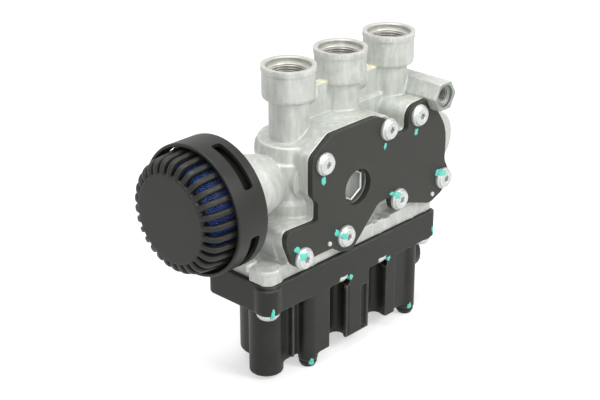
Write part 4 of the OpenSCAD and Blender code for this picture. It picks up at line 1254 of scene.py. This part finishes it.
def makeKnit():
    s = knitSettings
    dice = random.Random(s["seed"])
    path = smoothPath(s["path"], s["pathPoints"])
    run = np.concatenate([[0], np.cumsum(np.linalg.norm(np.diff(path, axis=0), axis=1))])
    verts, faces = [], []
    total, n = s["loops"] * s["perLoop"], s["sides"]
    for row in range(s["rows"]):
        line = yarnLine(s, dice, path, run, row)
        start = len(verts)
        for k in range(total):
            along = (line[(k + 1) % total] - line[k - 1]).normalized()
            side = along.cross(Vector((0, 0, 1)))
            if side.length < 0.2:
                side = along.cross(Vector((1, 0, 0)))
            side.normalize()
            up = side.cross(along)
            for j in range(n):
                b = 2 * math.pi * j / n
                verts.append((line[k] + (side * math.cos(b) + up * math.sin(b)) * s["thread"]) * mm)
                faces.append([start + k * n + j, start + k * n + (j + 1) % n,
                              start + (k + 1) % total * n + (j + 1) % n, start + (k + 1) % total * n + j])
    knit = onNeck(flipIfInside(newObject("silencerKnit", verts, faces)))
    for p in knit.data.polygons:
        p.use_smooth = True
    # the cup's dark navy is the knit's blue with painted shade of the gaps
    cup = copyOfNode("silencer_mesh", "knitCup")
    shade(cup, s["cupShadeAngle"])
    finishPiece(cup, "knitCup", [shadedCupBlue], ["silencer_mesh"])
    return finishPiece(knit, "silencerKnit", [yarnBlue])


makeShroud()
makeBasket()
makeKnit()


# torque paint

paintSettings = {
    "thick": 0.35, "under": 0.08, "dimple": 0.02, "steps": 28, "rows": 6, "waves": 5, "uneven": 0.14,
    "seed": 21, "shadeAngle": 60,
    "reach": 12,  # where a ray finds no surface, in mm from its start
    "marks": [  # x, y, z of a point before the surface, aim, width, height, tilt in degrees
        ((-46.8, -40, 124.6), (0, 1, 0), 3.6, 6.0, 0),
        ((8.4, -40, 130.3), (0, 1, 0), 2.8, 3.8, -15),
        ((38.1, -40, 131.0), (0, 1, 0), 3.2, 4.6, 0),
        ((61.0, -40, 96.6), (0, 1, 0), 3.4, 4.2, -20),
        ((63.2, -40, 96.6), (0, 1, 0), 5.0, 3.4, 0),
        ((15.8, -40, 96.2), (0, 1, 0), 3.4, 2.8, 0),
        ((18.4, -40, 95.2), (0, 1, 0), 4.4, 4.0, 0),
        ((-34.9, -40, 86.8), (0, 1, 0), 3.6, 4.4, 0),
        ((-31.6, -40, 84.6), (0, 1, 0), 4.6, 4.4, 0),
        ((-69.6, -40, 87.9), (0, 1, 0), 4.0, 4.2, -10),
        ((-67.2, -40, 83.8), (0, 1, 0), 5.4, 5.0, 20),
        ((-92.0, -38, 51.6), (0.35, 0.94, 0), 2.8, 7.0, 0),
        ((-19.2, -40, 50.4), (0, 1, 0), 4.2, 3.6, 20),
        ((16.8, -40, 50.2), (0, 1, 0), 4.0, 3.0, 20),
        ((61.6, -40, 54.6), (0, 1, 0), 2.0, 6.6, 15),
        ((-57.0, -38, 4.2), (0.3, 0.95, 0), 3.4, 5.4, 10),
        ((37.0, -38, 6.4), (0.3, 0.95, 0), 3.2, 4.6, -10),
    ],
}


def paintedSurfaces():
    verts, faces = [], []
    for o in (cover, coverScrews, housing, flangeScrews, columnScrews, body):
        start = len(verts)
        verts += [v.co.copy() for v in o.data.vertices]
        faces += [[start + k for k in p.vertices] for p in o.data.polygons]
    return BVHTree.FromPolygons(verts, faces)


def makePaint():
    # each dab is a wavy oval laid on whatever lies behind it
    s = paintSettings
    dice = random.Random(s["seed"])
    tree = paintedSurfaces()
    steps, rows = s["steps"], s["rows"]
    made = []
    for spot, aim, width, tall, tilt in s["marks"]:
        aim = Vector(aim).normalized()
        side = aim.cross(Vector((0, 0, 1))).normalized()
        up = side.cross(aim)
        turn = math.radians(tilt)
        wave = [dice.uniform(-s["uneven"], s["uneven"]) for k in range(s["waves"])]
        shift = [dice.uniform(0, 2 * math.pi) for k in range(s["waves"])]
        tops, unders = [], []
        for k in range(1, rows + 1):
            top, under = [], []
            lift = s["thick"] * math.sqrt(max(1 - (k / rows) ** 2, 0))
            for j in range(steps):
                a = 2 * math.pi * j / steps
                edge = 1 + sum(w * math.sin((n + 2) * a + p) for n, (w, p) in enumerate(zip(wave, shift)))
                rho = k / rows * edge
                across, high = rho * math.cos(a) * width / 2, rho * math.sin(a) * tall / 2
                across, high = (across * math.cos(turn) - high * math.sin(turn),
                                across * math.sin(turn) + high * math.cos(turn))
                fromPoint = at(*spot) + (side * across + up * high) * mm
                hit = tree.ray_cast(fromPoint, aim)[0]
                if hit is None:
                    hit = fromPoint + aim * s["reach"] * mm
                top.append(hit - aim * lift * mm)
                under.append(hit + aim * s["under"] * mm)
            tops.append(top)
            unders.append(under)
        middle = sum(tops[0], Vector()) / steps - aim * s["dimple"] * mm
        below = sum(unders[0], Vector()) / steps
        made.append(fromRings("dab", tops + unders[::-1], middle, below))
    dabs = flipIfInside(joined("torquePaint", made))
    shade(dabs, s["shadeAngle"])
    return finishPiece(dabs, "torquePaint", [paint])


makePaint()


# materials of the CAD nodes that show as they are

nodeMaterials = {
    "cover_gasket": sealRubber, "plug_seal": sealRubber, "housing_seal": sealRubber, "neck_seal": sealRubber,
    "check_valve": sealRubber, "connector_seal": orangeRubber, "contact_pins": contactMetal,
    "check_spring": steel,
}
for side in ("left", "middle", "right"):
    nodeMaterials.update({
        "piston_" + side: machinedAlloy, "piston_seals_" + side: sealRubber, "piston_spring_" + side: steel,
        "can_" + side: steel, "bobbin_" + side: bobbinPlastic, "winding_" + side: copper,
        "guide_tube_" + side: steel, "fixed_core_" + side: steel, "armature_" + side: steel,
        "seat_seal_" + side: sealRubber, "armature_spring_" + side: steel})
for node, material in nodeMaterials.items():
    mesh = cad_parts[node].data
    mesh.materials.clear()
    mesh.materials.append(material)
print("inner pieces painted:", len(nodeMaterials))

bpy.context.scene.view_settings.view_transform = "Standard"
